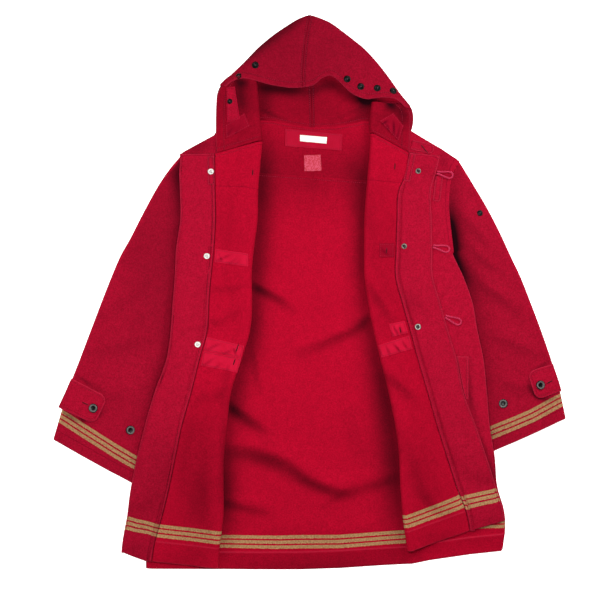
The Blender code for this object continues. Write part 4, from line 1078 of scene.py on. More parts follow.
def make_hood(ribs, sign):
    """From the neck seam up the lower layer, round the crown's edge and down to the mouth."""
    count = len(ribs) - 1
    rows = spread(CENTRE_POINTS, RIM, HOOD_SEAM)
    at = (rows.fixed / HOOD_SEAM + rows.share) * count
    neck, top, mouth = (line_of(ribs, name, at) for name in ("neck", "top", "mouth"))
    away = (top - neck) / np.linalg.norm(top - neck, axis=1)[:, None]
    turn = top - away * HOOD_ROLL

    low_steps = spread(STITCHED, (0.0,), HOOD_HEIGHT)
    low_length = np.linalg.norm(turn - neck, axis=1)[:, None]
    low_run = low_steps.fixed + low_steps.share * low_length
    low = neck[:, None] + (turn - neck)[:, None] * (low_run / low_length)[..., None]
    low_z = CLOTH / 2 + np.maximum(stroke_sum(HOOD_CREASES, low[..., 0], low[..., 1]), 0)

    angles = math.pi * (np.arange(1, ROLL_STEPS) / ROLL_STEPS - 0.5)
    reach = (HOOD_ROLL - CLOTH / 2) * np.cos(angles)
    roll = turn[:, None] + away[:, None] * reach[:, None]
    flat = np.zeros(roll.shape[:2])
    roll_z = CLOTH / 2 + (CLOTH + HOOD_GAP) / 2 * (1 + np.sin(angles)) + flat

    high_steps = spread((0.0,), MOUTH_POINTS, HOOD_DEPTH)
    high_length = np.linalg.norm(mouth - turn, axis=1)[:, None]
    t = (high_steps.fixed + high_steps.share * high_length) / high_length
    high = turn[:, None] + (mouth - turn)[:, None] * t[..., None]
    high[..., 0] += by_index(ribs, "bow")(at)[:, None] * 4 * t * (1 - t)
    from_mouth = (1 - t) * high_length
    hem = 1 - smooth((from_mouth - HOOD_HEM) / HEM_EDGE)
    high_z = CLOTH * 1.5 + mix(HOOD_GAP, by_index(ribs, "lift")(at)[:, None], smooth(t * 1.15))
    high_z += crown_shape(high[..., 0], high[..., 1]) + HOOD_HEM_EXTRA / 2 * hem
    high_z += uneven("crown", high[..., 0], high[..., 1]) * smooth(t * 3)

    layers = ((low, low_z), (roll, roll_z), (high, high_z))
    middle = np.concatenate([np.dstack(layer) for layer in layers], 1)
    side_away = np.minimum(at, count - at)[:, None] / count * HOOD_SEAM
    edge = np.minimum(np.concatenate([low_run, flat + FAR, from_mouth], 1), side_away)
    thick = np.concatenate([0 * low_z, flat, HOOD_HEM_EXTRA * hem], 1) + CLOTH
    from_seam = at[:, None] / count * HOOD_SEAM
    dips = np.concatenate([dip(low_run - STITCH_IN), flat, dip(from_mouth - HOOD_HEM)], 1)
    dips = np.maximum(dips, dip(from_seam - CENTRE_STITCH))
    half = rounded(edge, thick) - dips * smooth(edge / 2)
    seam = np.broadcast_to(from_seam - CENTRE_STITCH, half.shape)
    stitch = np.concatenate([low_run - STITCH_IN, flat + FAR, from_mouth - HOOD_HEM], 1)
    rim = np.concatenate([0 * low_z + FAR, flat + FAR, from_mouth], 1)
    low_shade = PIECE_PAINTED_SHADES["hood_inside"] + stroke_sum(PAINTED_SHADOWS["hood_inside"], low[..., 0], low[..., 1])
    low_shade += 0.5 * painted_flank_shade(HOOD_CREASES, low[..., 0], low[..., 1])
    high_shade = PIECE_PAINTED_SHADES["crown"] + stroke_sum(PAINTED_SHADOWS["crown"], high[..., 0], high[..., 1])
    shade = np.concatenate([low_shade, high_shade[:, :1] + flat, high_shade], 1)
    for line, width, dark in CENTRE_SHADES:
        shade += dark * np.exp(-(((from_seam - line) / width) ** 2))
    cloth = Cloth(middle, half, None, np.dstack([seam, stitch]), rim, shade, 0 if sign < 0 else 1)
    cloth.stitch(column=STITCH_POINT, first=2, last=-2)
    cloth.stitch(column=-1 - MOUTH_POINTS.index(HOOD_HEM), first=2, last=-2)
    cloth.stitch(row=CENTRE_POINTS.index(CENTRE_STITCH), last=low.shape[1])
    cloth.stitch(row=CENTRE_POINTS.index(CENTRE_STITCH), first=low.shape[1] + roll.shape[1])
    return cloth


def make_flap(ribs, sign):
    """The hood's turned-back side: from the outline in to the fold, and back out to the free edge."""
    count = len(ribs) - 1
    rows = spread(STITCHED, RIM, FLAP_HEIGHT)
    at = (rows.fixed / FLAP_HEIGHT + rows.share) * count
    side, fold, edge = (line_of(ribs, name, at) for name in ("side", "fold", "edge"))
    turn, tuck = side - (sign * HOOD_ROLL, 0.0), fold + (sign * FOLD_DEPTH, 0.0)
    low_z = CLOTH * 1.5 + SEAM
    angles = math.pi * (np.arange(1, FLAP_ROLL_STEPS) / FLAP_ROLL_STEPS - 0.5)
    outwards = np.array([sign, 0.0])
    root = turn[:, None]
    first = root + outwards * (np.cos(angles) * (HOOD_ROLL - CLOTH / 2))[:, None]
    first_z = CLOTH / 2 + (low_z - CLOTH / 2) / 2 * (1 + np.sin(angles))
    inward = root + (tuck - turn)[:, None] * (np.arange(FLAP_INWARD + 1) / FLAP_INWARD)[:, None]
    second = tuck[:, None] - outwards * (np.cos(angles) * (FOLD_DEPTH - CLOTH / 2))[:, None]
    width = np.linalg.norm(edge - tuck, axis=1)[:, None]
    steps = spread((0.0,), FLAP_POINTS, FLAP_WIDTH, FLAP_GRID)
    run = steps.fixed + steps.share * width
    back = tuck[:, None] + (edge - tuck)[:, None] * (run / width)[..., None]
    from_edge = width - run
    hem = 1 - smooth((from_edge - FLAP_HEM) / HEM_EDGE)
    back_z = low_z + CLOTH + SEAM + FOLD_LOFT * (1 - smooth(run / FOLD_LOFT_REACH)) + HOOD_HEM_EXTRA / 2 * hem
    back_z += uneven("flap", back[..., 0], back[..., 1])
    second_z = low_z + (back_z[:, :1] - low_z) / 2 * (1 + np.sin(angles))
    places = np.concatenate([root, first, inward, second, back], 1)
    before = places.shape[1] - from_edge.shape[1]
    flat = np.zeros((len(at), before))
    under = np.concatenate([[CLOTH / 2], first_z, np.full(FLAP_INWARD + 1, low_z)])
    z = np.concatenate([flat[:, :len(under)] + under, second_z, back_z], 1)
    ends = np.minimum(at, count - at)[:, None] / count * FLAP_HEIGHT
    free = np.concatenate([flat[:, :1], flat[:, 1:] + FAR, from_edge], 1)
    away = np.minimum(free, ends)
    half = rounded(away, np.concatenate([flat, HOOD_HEM_EXTRA * hem], 1) + CLOTH)
    half -= dip(free - FLAP_HEM) * smooth(away / 2)
    neck = at[:, None] / count * FLAP_HEIGHT - STITCH_IN + 0 * z
    flap_painted_shadows = PAINTED_SHADOWS["flap_left" if sign < 0 else "flap_right"]
    shade = PIECE_PAINTED_SHADES["flap"] + stroke_sum(flap_painted_shadows, back[..., 0], back[..., 1])
    shade = np.concatenate([np.repeat(shade[:, :1], before, 1), shade], 1)
    seams = np.dstack([neck, free - FLAP_HEM])
    cloth = Cloth(np.dstack([places, z]), half, None, seams, free, shade, 1 if sign < 0 else 0)
    cloth.stitch(row=STITCH_POINT, first=before)
    cloth.stitch(column=-1 - FLAP_POINTS.index(FLAP_HEM), first=2)
    return cloth


# ---------------------------------------------------------------- patches, tabs and labels
LAY_GAP = 0.15  # a patch lies this far above what carries it


def lay(places, height, thickness):
    """A patch over a surface from rows of places."""
    rows, columns = places.shape[:2]
    z = np.zeros((rows, columns))
    for i in range(rows):
        for j in range(columns):
            x, y = places[i, j]
            near = [height(x + dx, y + dy) for dx, dy in ((0, 0), (2, 0), (-2, 0), (0, 2), (0, -2))]
            z[i, j] = max(near) + LAY_GAP + thickness / 2
    return np.dstack([places, z])


def edge_distance(places):
    """Distance of every grid point to the nearest border of its patch, along its row and its column."""
    steps_across = np.linalg.norm(np.diff(places, axis=1), axis=2)
    steps_down = np.linalg.norm(np.diff(places, axis=0), axis=2)
    across = np.concatenate([np.zeros((places.shape[0], 1)), np.cumsum(steps_across, 1)], 1)
    down = np.concatenate([np.zeros((1, places.shape[1])), np.cumsum(steps_down, 0)], 0)
    across = np.minimum(across, across[:, -1:] - across)
    return np.minimum(across, np.minimum(down, down[-1:] - down))


Tape = namedtuple("Tape", "name x0 y0 x1 y1 x2 y2 x3 y3")
TAPES = table(  # corners clockwise from the upper left
    Tape,
    ("tape_left_upper", -188, 86, -122, 76, -122, 50, -190, 59),
    ("tape_left_middle", -205, -90, -130, -107.6, -136, -132.4, -211, -117),
    ("tape_left_lower", -211, -117.4, -136, -132.8, -144, -161, -217, -147),
    ("tape_right_upper", 139, 97, 169, 97, 169, 69, 139, 69),
    ("tape_right_middle", 158, -64, 190, -58, 197, -82, 165, -90),
    ("tape_right_lower", 137, -106.5, 199, -87, 206, -114, 143, -131.5),
)
TAPE_CLOTH = 0.8
HOOD_PATCHES = table(
    Tape,
    ("hood_patch_left", -168, 333, -130, 357, -118, 330, -167, 305),
    ("hood_patch_right", 139, 341, 167, 357, 188, 332, 178, 300),
)
SNAP_PATCH = Tape("snap_patch_left", -166, 408, -149, 410, -139, 345, -165, 337)
SNAP_PATCH_CLOTH = 1.6
LABEL = Tape("label_patch", -49, 326, 66, 315, 65, 282, -49, 291)
LABEL_CLOTH = 1.4
TAG = Tape("label_tag", -19, 313.5, 35, 309, 34, 296, -19, 301)
TAG_CLOTH = 0.7
SPECKLED = Tape("speckled_square", -11, 273, 22, 274, 24, 242, -10, 241)
EDGE_POINTS = (0.0, 0.2, 0.5, 1.4, 2.6)
PATCH_FLANK_SHADE = 4.0
PATCH_GRID, SPECKLED_GRID = 3.0, 8.0
SPECKLED_CLOTH = 0.3


def quad_grid(tape, step):
    corners = np.array(tape[1:], float).reshape(4, 2)
    width, depth = np.linalg.norm(corners[1] - corners[0]), np.linalg.norm(corners[3] - corners[0])
    across = spread(EDGE_POINTS, EDGE_POINTS, width, step)
    down = spread(EDGE_POINTS, EDGE_POINTS, depth, step)
    u = (across.fixed / width + across.share)[None, :, None]
    v = (down.fixed / depth + down.share)[:, None, None]
    return mix(mix(corners[0], corners[1], u), mix(corners[3], corners[2], u), v)


PATCH_STITCH = 2.6
PATCH_CREASES = {
    "tape_left_upper": strokes(
        (-184, 66, -168, 74, -152, 82, 3.2, 1.1), (-160, 57, -150, 68, -136, 78, 3.0, 1.3),
        (-146, 58, -138, 66, -128, 76, 2.6, 0.9), (-178, 82, -174, 76, -172, 66, 2.6, 0.7),
    ),
    "tape_left_middle": strokes(
        (-202, -112, -190, -102, -174, -98, 3.0, 1.0),
        (-172, -122, -160, -112, -150, -110, 3.0, 1.0),
        (-152, -110, -149, -120, -147, -128, 2.2, -0.8),
    ),
    "tape_left_lower": strokes(
        (-208, -142, -196, -132, -184, -122, 3.0, 1.1),
        (-186, -148, -176, -140, -168, -128, 2.8, 1.0),
        (-164, -156, -157, -146, -151, -136, 2.4, 1.0),
    ),
    "tape_right_upper": strokes((146, 92, 152, 84, 164, 76, 3.0, 0.8),),
    "tape_right_middle": strokes(
        (171, -64, 177, -74, 180, -84, 2.2, 1.1), (186, -62, 182, -72, 190, -80, 2.6, 0.8),
        (162, -72, 168, -78, 172, -86, 2.4, 0.7),
    ),
    "tape_right_lower": strokes(
        (157, -104, 161, -112, 163, -122, 2.2, 1.0), (172, -100, 180, -108, 186, -118, 2.6, 1.0),
        (190, -92, 192, -102, 202, -112, 2.4, 0.8), (142, -108, 146, -116, 146, -126, 2.4, 0.8),
    ),
    "hood_patch_left": strokes(
        (-160, 318, -150, 332, -138, 344, 3.2, 2.2), (-148, 312, -140, 326, -128, 340, 3.0, 2.4),
        (-136, 312, -130, 322, -122, 334, 2.6, 2.0), (-164, 308, -154, 310, -146, 308, 4.0, 1.4),
    ),
    "hood_patch_right": strokes(
        (144, 338, 156, 344, 164, 354, 3.0, 2.0), (158, 340, 162, 328, 162, 316, 3.4, 1.8),
        (172, 346, 174, 332, 172, 316, 3.2, 2.0), (184, 336, 182, 324, 178, 308, 2.8, 1.6),
    ),
}


def make_patch(tape, height, thickness, step=PATCH_GRID):
    places = quad_grid(tape, step)
    x, y = places[..., 0], places[..., 1]
    away = edge_distance(places)
    middle = lay(places, height, thickness)
    creases = PATCH_CREASES.get(tape.name, ())
    middle[..., 2] += stroke_sum(creases, x, y) * smooth(away / 5)
    # Painted shade on the crinkles' sides that are turned away from the light.
    shade = PATCH_FLANK_SHADE * painted_flank_shade(creases, x, y)
    plain = np.dstack([x, y - 2 * FAR])  # far below any stripe
    cloth = Cloth(middle, rounded(away, thickness), plain, one_seam(away - PATCH_STITCH), None, shade)
    inset = EDGE_POINTS.index(PATCH_STITCH)
    for line in ("row", "column"):
        for place in (inset, -1 - inset):
            cloth.stitch(**{line: place}, first=inset, last=-inset)
    return cloth


Strip = namedtuple("Strip", "name x0 y0 x1 y1 width0 width1 round_end cloth on stitch")
STRIPS = table(
    Strip,
    ("throat_tab", 204, 294, 248, 284, 19, 20, 9, 2.4, "front_right", 3.0),
    ("chest_tab", 259.5, 232, 253.5, 181, 15, 15, 4, 2.0, "front_right", 2.6),
    ("band_tab_left", -197, 270, -196, 214, 13, 13, 0, 1.4, "band_left", 2.2),
    ("band_tab_right", 206, 276, 194, 221, 12, 13, 0, 1.4, "band_right", 2.2),
    ("cuff_tab_left", -489, -202, -415, -237, 64, 60, 16, 3.0, "sleeve_left", 5.0),
    ("cuff_tab_right", 495, -171, 443, -188, 57, 60, 16, 3.0, "sleeve_right", 5.0),
)
STRIP_POINTS = (0.0, 0.4, 1.1, 2.4)
STRIP_GRID = 3.0
STRIP_DIP, STRIP_DIP_WIDTH = 0.35, 0.8
ROUND_STEPS, ROUND_REACH = 11, 0.985  # a round end stops just short of its full quarter turn


def make_strip(strip, height):
    """A tab whose far end may have round corners."""
    start, end = np.array(strip[1:5], float).reshape(2, 2)
    length = np.linalg.norm(end - start)
    way = (end - start) / length
    sideways = np.array([-way[1], way[0]])
    r = strip.round_end
    straight = length - r
    run = spread(STRIP_POINTS, (0.0,) if r else STRIP_POINTS, straight, STRIP_GRID)
    run = run.fixed + run.share * straight
    if r:
        turn = math.pi / 2 * np.arange(1, ROUND_STEPS + 1) / ROUND_STEPS * ROUND_REACH
        run = np.concatenate([run, straight + r * np.sin(turn)])
    drop = np.clip((run - straight) / max(r, 1e-6), 0, 1)
    width = mix(strip.width0, strip.width1, run / length) - 2 * r * (1 - np.sqrt(1 - drop * drop))
    side_points = STRIP_POINTS + (strip.stitch, strip.stitch + 1.0, strip.stitch + 2.2)
    across = spread(side_points, side_points, strip.width0, STRIP_GRID)
    share = across.fixed / strip.width0 + across.share - 0.5
    places = start + way * run[:, None, None] + sideways * (share[None, :, None] * width[:, None, None])
    side_away = (0.5 - np.abs(share))[None] * width[:, None]
    end_away = np.minimum(FAR if r else run, length - run)[:, None]
    away = np.minimum(side_away, np.maximum(end_away, 0))
    half = rounded(np.minimum(away, run[:, None]), strip.cloth)
    half = np.maximum(half - STRIP_DIP * np.exp(-(((away - strip.stitch) / STRIP_DIP_WIDTH) ** 2)), 0)
    cloth = Cloth(lay(places, height, strip.cloth), half, None, one_seam(away - strip.stitch), away)
    inset = side_points.index(strip.stitch)
    cloth.stitch(column=inset, first=3, last=-6 if r else -3)
    cloth.stitch(column=-1 - inset, first=3, last=-6 if r else -3)
    return cloth


WELT_TOP, WELT_BOTTOM, WELT_OUTER = -129, -214, 317
WELT_CLOTH, WELT_STITCH, WELT_NARROWEST = 2.0, 4.0, 9
WELT_DIP, WELT_DIP_WIDTH = 0.3, 0.9


def make_welt(height):
    rows = spread(RIM, RIM, WELT_TOP - WELT_BOTTOM)
    y = WELT_TOP - (rows.fixed + rows.share * (WELT_TOP - WELT_BOTTOM))
    near = RIGHT.line["edge"](y) + 1.0
    columns = spread(STRIP_POINTS[:3], STITCHED[:8], 20, STRIP_GRID)
    width = (WELT_OUTER - near)[:, None]
    run = columns.fixed + columns.share * np.maximum(width, WELT_NARROWEST)
    run = np.clip(run, 0, width)
    places = np.dstack([near[:, None] + run, y[:, None] + 0 * run])
    away = edge_distance(places)
    outer = width - run
    pressed = WELT_DIP * np.exp(-(((outer - WELT_STITCH) / WELT_DIP_WIDTH) ** 2)) * smooth(away / 2)
    half = np.maximum(rounded(away, WELT_CLOTH) - pressed, 0)
    cloth = Cloth(lay(places, height, WELT_CLOTH), half, None, one_seam(outer - WELT_STITCH), away)
    cloth.stitch(column=-1 - STITCHED.index(4.2), first=2, last=-2)
    return cloth


# ---------------------------------------------------------------- buttonholes
Slit = namedtuple("Slit", "x0 y0 x1 y1 on")
SLITS = table(
    Slit,
    (-113, 243, -113.5, 232, "front_left"),
    (170.6, 257, 170, 244, "front_right"),
    (154, 88, 153, 76, "tape_right_upper"),
    (180, -70, 182, -82, "tape_right_middle"),
    (-141, -104, -147, -120, "tape_left_middle"),
    (-148, -134, -152, -146, "tape_left_lower"),
    (222, 294, 237, 275.6, "throat_tab"),
    (-454, -220, -440, -225.5, "cuff_tab_left"),
    (473, -183, 485, -177, "cuff_tab_right"),
)
SLIT_WIDTH = 2.6
SLIT_THREAD = 0.9
SLIT_ALONG, SLIT_ACROSS = 14, 8


def make_slit(slit, height):
    """A worked buttonhole: a narrow oval of thread with painted shadow, nearly black, along its middle where
    the slit opens.
    """
    start, end = np.array(slit[:4], float).reshape(2, 2)
    across = (end - start)[::-1] * (1, -1) / np.linalg.norm(end - start)
    v = np.linspace(-1, 1, SLIT_ALONG)[:, None]
    u = np.linspace(-1, 1, SLIT_ACROSS)[None, :]
    width = SLIT_WIDTH / 2 * (1 - 0.7 * v ** 4)
    places = mix(start, end, (v[..., None] + 1) / 2) + (u * width)[..., None] * across
    middle = lay(places, height, SLIT_THREAD)
    half = SLIT_THREAD / 2 * np.sqrt(np.clip((1 - u ** 2) * (1 - v ** 2), 0, 1))
    # Painted shadow along the slit's middle: the rim map's second value is 1 there.
    dark = (np.abs(u) < 0.5) * (np.abs(v) < 0.9)
    return Cloth(middle, half, shade=1.0 * dark)


# ---------------------------------------------------------------- nodes
MATH, MIX, RANGE = "ShaderNodeMath", "ShaderNodeMix", "ShaderNodeMapRange"
NOISE, WAVE, BUMP = "ShaderNodeTexNoise", "ShaderNodeTexWave", "ShaderNodeBump"


def feed(tree, node, inputs):
    """Gives a node its inputs: a socket is linked, anything else is a value."""
    for name, value in inputs.items():
        if isinstance(value, bpy.types.NodeSocket):
            tree.links.new(value, node.inputs[name])
        else:
            node.inputs[name].default_value = value


def add(tree, kind, output=None, inputs=None, **settings):
    """Adds a node with its settings, inputs and links. It gives back one of its outputs, or the node."""
    made = tree.nodes.new(kind)
    for name, value in settings.items():
        setattr(made, name, value)
    feed(tree, made, inputs or {})
    return made if output is None else made.outputs[output]


# ---------------------------------------------------------------- topstitching
STITCH_SPACING = 4.2
STITCH_LENGTH = 3.0
THREAD = 0.75
STITCH_SEED = 7
STITCH_PROUD = 0.12  # a stitch's middle lies this far above the cloth
THREAD_SIDES = 6


def stitch_tree(material):
    """A tree that sets short lengths of thread along every edge of a wire mesh."""
    tree = bpy.data.node_groups.new("topstitching", "GeometryNodeTree")
    face = tree.interface
    face.new_socket("Lines", in_out="INPUT", socket_type="NodeSocketGeometry")
    for name in ("Spacing", "Length", "Thickness"):
        face.new_socket(name, in_out="INPUT", socket_type="NodeSocketFloat")
    face.new_socket("Seed", in_out="INPUT", socket_type="NodeSocketInt")
    face.new_socket("Stitches", in_out="OUTPUT", socket_type="NodeSocketGeometry")
    given = add(tree, "NodeGroupInput").outputs
    curves = add(tree, "GeometryNodeMeshToCurve", "Curve", {"Mesh": given["Lines"]})
    spaced = {"Curve": curves, "Length": given["Spacing"]}
    places = add(tree, "GeometryNodeCurveToPoints", None, spaced, mode="LENGTH").outputs
    radius = add(tree, MATH, 0, {0: given["Thickness"], 1: 0.5}, operation="MULTIPLY")
    thread = add(tree, "GeometryNodeMeshCylinder", "Mesh",
                 {"Vertices": THREAD_SIDES, "Radius": radius, "Depth": given["Length"]})
    size = add(tree, "FunctionNodeRandomValue", 1, {2: 0.82, 3: 1.08, "Seed": given["Seed"]})
    sewn = add(tree, "GeometryNodeInstanceOnPoints", "Instances", {
        "Points": places["Points"], "Instance": thread, "Rotation": places["Rotation"], "Scale": size,
    })
    real = add(tree, "GeometryNodeRealizeInstances", "Geometry", {"Geometry": sewn})
    finished = add(tree, "GeometryNodeSetMaterial", "Geometry", {"Geometry": real, "Material": material})
    add(tree, "NodeGroupOutput", None, {"Stitches": finished})
    return tree


def make_topstitching(lines, material):
    """Every stitch of the coat as one mesh."""
    points = np.concatenate(lines)
    points[:, 2] += STITCH_PROUD
    edges, start = [], 0
    for line in lines:
        edges += [(start + i, start + i + 1) for i in range(len(line) - 1)]
        start += len(line)
    wire = bpy.data.meshes.new("stitch lines")
    wire.from_pydata((points * MM).tolist(), edges, [])
    guide = bpy.data.objects.new("stitch lines", wire)
    bpy.context.collection.objects.link(guide)
    tree = stitch_tree(material)
    modifier = guide.modifiers.new("topstitching", "NODES")
    modifier.node_group = tree
    sizes = {"Spacing": STITCH_SPACING, "Length": STITCH_LENGTH, "Thickness": THREAD}
    sizes = {name: size * MM for name, size in sizes.items()} | {"Seed": STITCH_SEED}
    for socket in tree.interface.items_tree:
        if socket.name in sizes:
            modifier[socket.identifier] = sizes[socket.name]
    guide.update_tag()
    shown = guide.evaluated_get(bpy.context.evaluated_depsgraph_get())
    mesh = bpy.data.meshes.new_from_object(shown)
    mesh.name = "topstitching"
    bpy.data.objects.remove(guide)
    return show("topstitching", mesh, "wool melton")


# ---------------------------------------------------------------- studs and buttons
Stud = namedtuple("Stud", "name x y radius height on kind")
STUDS = table(
    Stud,
    ("front_snap_left_upper", -197, 240, 6.0, 2.6, ("band_left", "band_tab_left"), "silver"),
    ("front_snap_left_middle", -205, 71, 6.0, 2.6, ("band_left",), "silver"),
    ("front_snap_left_lower", -223, -105, 6.0, 2.6, ("band_left",), "silver"),
    ("front_snap_right_upper", 217, 241, 5.6, 2.6, ("band_right",), "dull socket"),
    ("front_snap_right_middle", 189, 91, 5.6, 2.6, ("band_right",), "dull socket"),
    ("front_snap_right_lower", 216, -70, 6.2, 2.6, ("band_right",), "socket"),
    ("hood_snap_1", -108, 452, 7.0, 2.8, ("hood_left",), "black"),
    ("hood_snap_2", -141, 430, 6.0, 2.8, ("hood_left",), "black"),
    ("hood_snap_3", -159, 380, 5.4, 2.6, ("hood_left", "snap_patch_left"), "black"),
    ("hood_snap_4", 75, 424, 7.0, 2.8, ("hood_right",), "black"),
    ("hood_snap_5", 102, 409, 7.0, 2.8, ("hood_right",), "black"),
    ("hood_snap_6", 135, 406, 7.0, 2.8, ("hood_right",), "black"),
    ("hood_snap_7", 167, 401, 7.0, 2.8, ("hood_right",), "black"),
    ("sleeve_snap", 340, 157, 6.0, 2.6, ("sleeve_right",), "black"),
    ("cuff_button_left", -431, -232, 9.2, 4.2, ("cuff_tab_left",), "horn"),
    ("sleeve_button_left", -358, -276, 9.2, 4.2, ("sleeve_left",), "horn"),
    ("cuff_button_right", 460, -186, 9.2, 4.2, ("cuff_tab_right",), "horn"),
    ("sleeve_button_right", 387, -223, 9.2, 4.2, ("sleeve_right",), "horn"),
)
STUD_SIDES = 40
Turn = namedtuple("Turn", "radius height")  # shares of the stud's own radius and height
STUD_PROFILES = {
    "silver": table(
        Turn, (0, 0), (0.9, 0), (1, 0.12), (1, 0.35), (0.94, 0.5), (0.84, 0.56),
        (0.66, 0.5), (0.52, 0.42), (0.46, 0.5), (0.44, 0.8), (0.36, 0.96), (0.2, 1),
        (0, 1),
    ),
    "socket": table(
        Turn, (0, 0), (0.9, 0), (1, 0.15), (1, 0.5), (0.93, 0.8), (0.8, 0.92),
        (0.64, 0.86), (0.54, 0.7), (0.5, 0.35), (0.44, 0.22), (0.2, 0.2), (0, 0.2),
    ),
    "black": table(
        Turn, (0, 0), (0.9, 0), (1, 0.1), (1, 0.35), (0.93, 0.55), (0.78, 0.66),
        (0.6, 0.62), (0.5, 0.42), (0.4, 0.4), (0.34, 0.7), (0.24, 0.82), (0, 0.84),
    ),
    "horn": table(
        Turn, (0, 0), (0.8, 0), (0.96, 0.14), (1, 0.4), (0.97, 0.72), (0.88, 0.93),
        (0.76, 1), (0.64, 0.95), (0.54, 0.74), (0.46, 0.56), (0.3, 0.5), (0, 0.5),
    ),
}
STUD_PROFILES["dull socket"] = STUD_PROFILES["socket"]
STUD_SUNK = 0.4  # a stud's foot is pressed this far into the cloth


def make_stud(stud, height, material, slot):
    """A turned stud or button that lies on the cloth, tilted as the cloth is."""
    reach = stud.radius * 0.9
    east, west = height(stud.x + reach, stud.y), height(stud.x - reach, stud.y)
    north, south = height(stud.x, stud.y + reach), height(stud.x, stud.y - reach)
    normal = Vector(((west - east) / (2 * reach), (south - north) / (2 * reach), 1.0)).normalized()
    foot = Vector((stud.x, stud.y, (east + west + north + south) / 4 - STUD_SUNK))
    turn = Vector((0, 0, 1)).rotation_difference(normal).to_matrix()
    profile = STUD_PROFILES[stud.kind]
    points, faces, shares = [], [], []
    for station in profile[1:-1]:
        for i in range(STUD_SIDES):
            angle = math.tau * i / STUD_SIDES
            flat = Vector((math.cos(angle), math.sin(angle), 0)) * stud.radius * station.radius
            points.append(foot + turn @ (flat + Vector((0, 0, station.height * stud.height))))
            shares.append(station.radius)
    rings = len(profile) - 2
    for ring in range(rings - 1):
        for i in range(STUD_SIDES):
            j = (i + 1) % STUD_SIDES
            a, b = ring * STUD_SIDES, (ring + 1) * STUD_SIDES
            faces.append((a + i, a + j, b + j, b + i))
    points += [foot, foot + turn @ Vector((0, 0, profile[-1].height * stud.height))]
    shares += [0.0, 0.0]
    bottom, top = len(points) - 2, len(points) - 1
    for i in range(STUD_SIDES):
        j = (i + 1) % STUD_SIDES
        faces.append((bottom, j, i))
        faces.append((top, (rings - 1) * STUD_SIDES + i, (rings - 1) * STUD_SIDES + j))
    mesh = bpy.data.meshes.new(stud.name + "_turned")
    mesh.from_pydata([point * MM for point in points], [], faces)
    layer = mesh.uv_layers.new(name="turned")
    for loop in mesh.loops:
        layer.data[loop.index].uv = (shares[loop.vertex_index], 0.0)
    mesh.shade_smooth()
    mesh.materials.append(material)
    return show(stud.name + "_turned", mesh, slot, stud.name)


# ---------------------------------------------------------------- toggle loops
Loop = namedtuple("Loop", "name root_x root_y tip_x tip_y")
LOOPS = table(
    Loop,
    ("toggle_loop_1", 254.6, 238, 286, 232),
    ("toggle_loop_2", 246.6, 91, 279, 84),
    ("toggle_loop_3", 270.6, -49, 302, -62),
)
CORD = 3.6
LOOP_RADIUS = 6.2
LOOP_MOUTH = 4.4
LOOP_STEPS = 9


def loop_plan(loop):
    """The loop's centre line in plan: out along one strand, round the tip, and back."""
    root, tip = Vector((loop.root_x, loop.root_y)), Vector((loop.tip_x, loop.tip_y))
    way = (tip - root).normalized()
    sideways = Vector((-way.y, way.x))
    centre = tip - way * LOOP_RADIUS
    points = []
    for i in range(LOOP_STEPS):
        t = i / LOOP_STEPS
        points.append(root.lerp(centre, t) + sideways * mix(LOOP_MOUTH / 2, LOOP_RADIUS, float(smooth(t))))
    half_turn = [centre + LOOP_RADIUS * (way * math.sin(a) + sideways * math.cos(a))
                 for a in [math.pi * i / 8 for i in range(9)]]
    back = [2 * (root + way * (p - root).dot(way)) - p for p in points[::-1]]
    return points + half_turn + back


def frame_surface(names):
    """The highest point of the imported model's own nodes above a place."""
    trees = []
    for name in names:
        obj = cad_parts[name]
        points = [obj.matrix_world @ vertex.co / MM for vertex in obj.data.vertices]
        trees.append(BVHTree.FromPolygons(points, [tuple(face.vertices) for face in obj.data.polygons]))
    return height_over(trees)


def make_loop(loop, height, material):
    points = []
    for place in loop_plan(loop):
        top = max(height(place.x + dx, place.y + dy) for dx in (-CORD, 0, CORD) for dy in (-CORD, 0, CORD))
        points.append(Vector((place.x, place.y, top + SEAM + CORD / 2)))
    curve = bpy.data.curves.new(loop.name + "_cord", "CURVE")
    curve.dimensions = "3D"
    spline = curve.splines.new("POLY")
    spline.points.add(len(points) - 1)
    for point, place in zip(spline.points, points):
        point.co = (*(place * MM), 1)
    curve.bevel_depth = CORD / 2 * MM
    curve.bevel_resolution = 3
    curve.use_fill_caps = True
    curve.materials.append(material)
    obj = show(loop.name + "_cord", curve, "loop cord", loop.name)
    return obj


# ---------------------------------------------------------------- materials
# A scale is a number of cells or bands to the metre, so 330 draws the nap in spots of 3 mm. A Mix node of
# colours takes its share on input 0 and the colours on inputs 6 and 7, and gives the result on output 2.
def linear(hex_colour):
    """An sRGB hex colour as linear red, green, blue and alpha."""
    values = [int(hex_colour[i:i + 2], 16) / 255 for i in (1, 3, 5)]
    return (*[v / 12.92 if v <= 0.04045 else ((v + 0.055) / 1.055) ** 2.4 for v in values], 1.0)


def blank_material(name):
    material = bpy.data.materials.new(name)
    material.use_nodes = True
    return material, material.node_tree, material.node_tree.nodes["Principled BSDF"]


def read_map(tree, name):
    """The two values of one of a piece's own maps, as X and Y."""
    values = add(tree, "ShaderNodeUVMap", "UV", uv_map=name)
    return add(tree, "ShaderNodeSeparateXYZ", None, {"Vector": values}).outputs


def ridge(tree, distance, width):
    """1 on a line and 0 away from it, from the signed distance to the line in metres."""
    scaled = add(tree, MATH, 0, {0: distance, 1: width}, operation="DIVIDE")
    squared = add(tree, MATH, 0, {0: scaled, 1: scaled}, operation="MULTIPLY")
    falling = add(tree, MATH, 0, {0: squared, 1: -1.0}, operation="MULTIPLY")
    return add(tree, MATH, 0, {0: math.e, 1: falling}, operation="POWER")


Nap = namedtuple("Nap", "dark base light flecks")
NAPS = {
    "outside": Nap("#8A0620", "#A80A2B", "#BC3A54", 0.35),  # raised nap, greyed by its pale fibre ends
    "inside": Nap("#94031E", "#AE0627", "#C02242", 0.30),  # smoother and clearer in colour
}


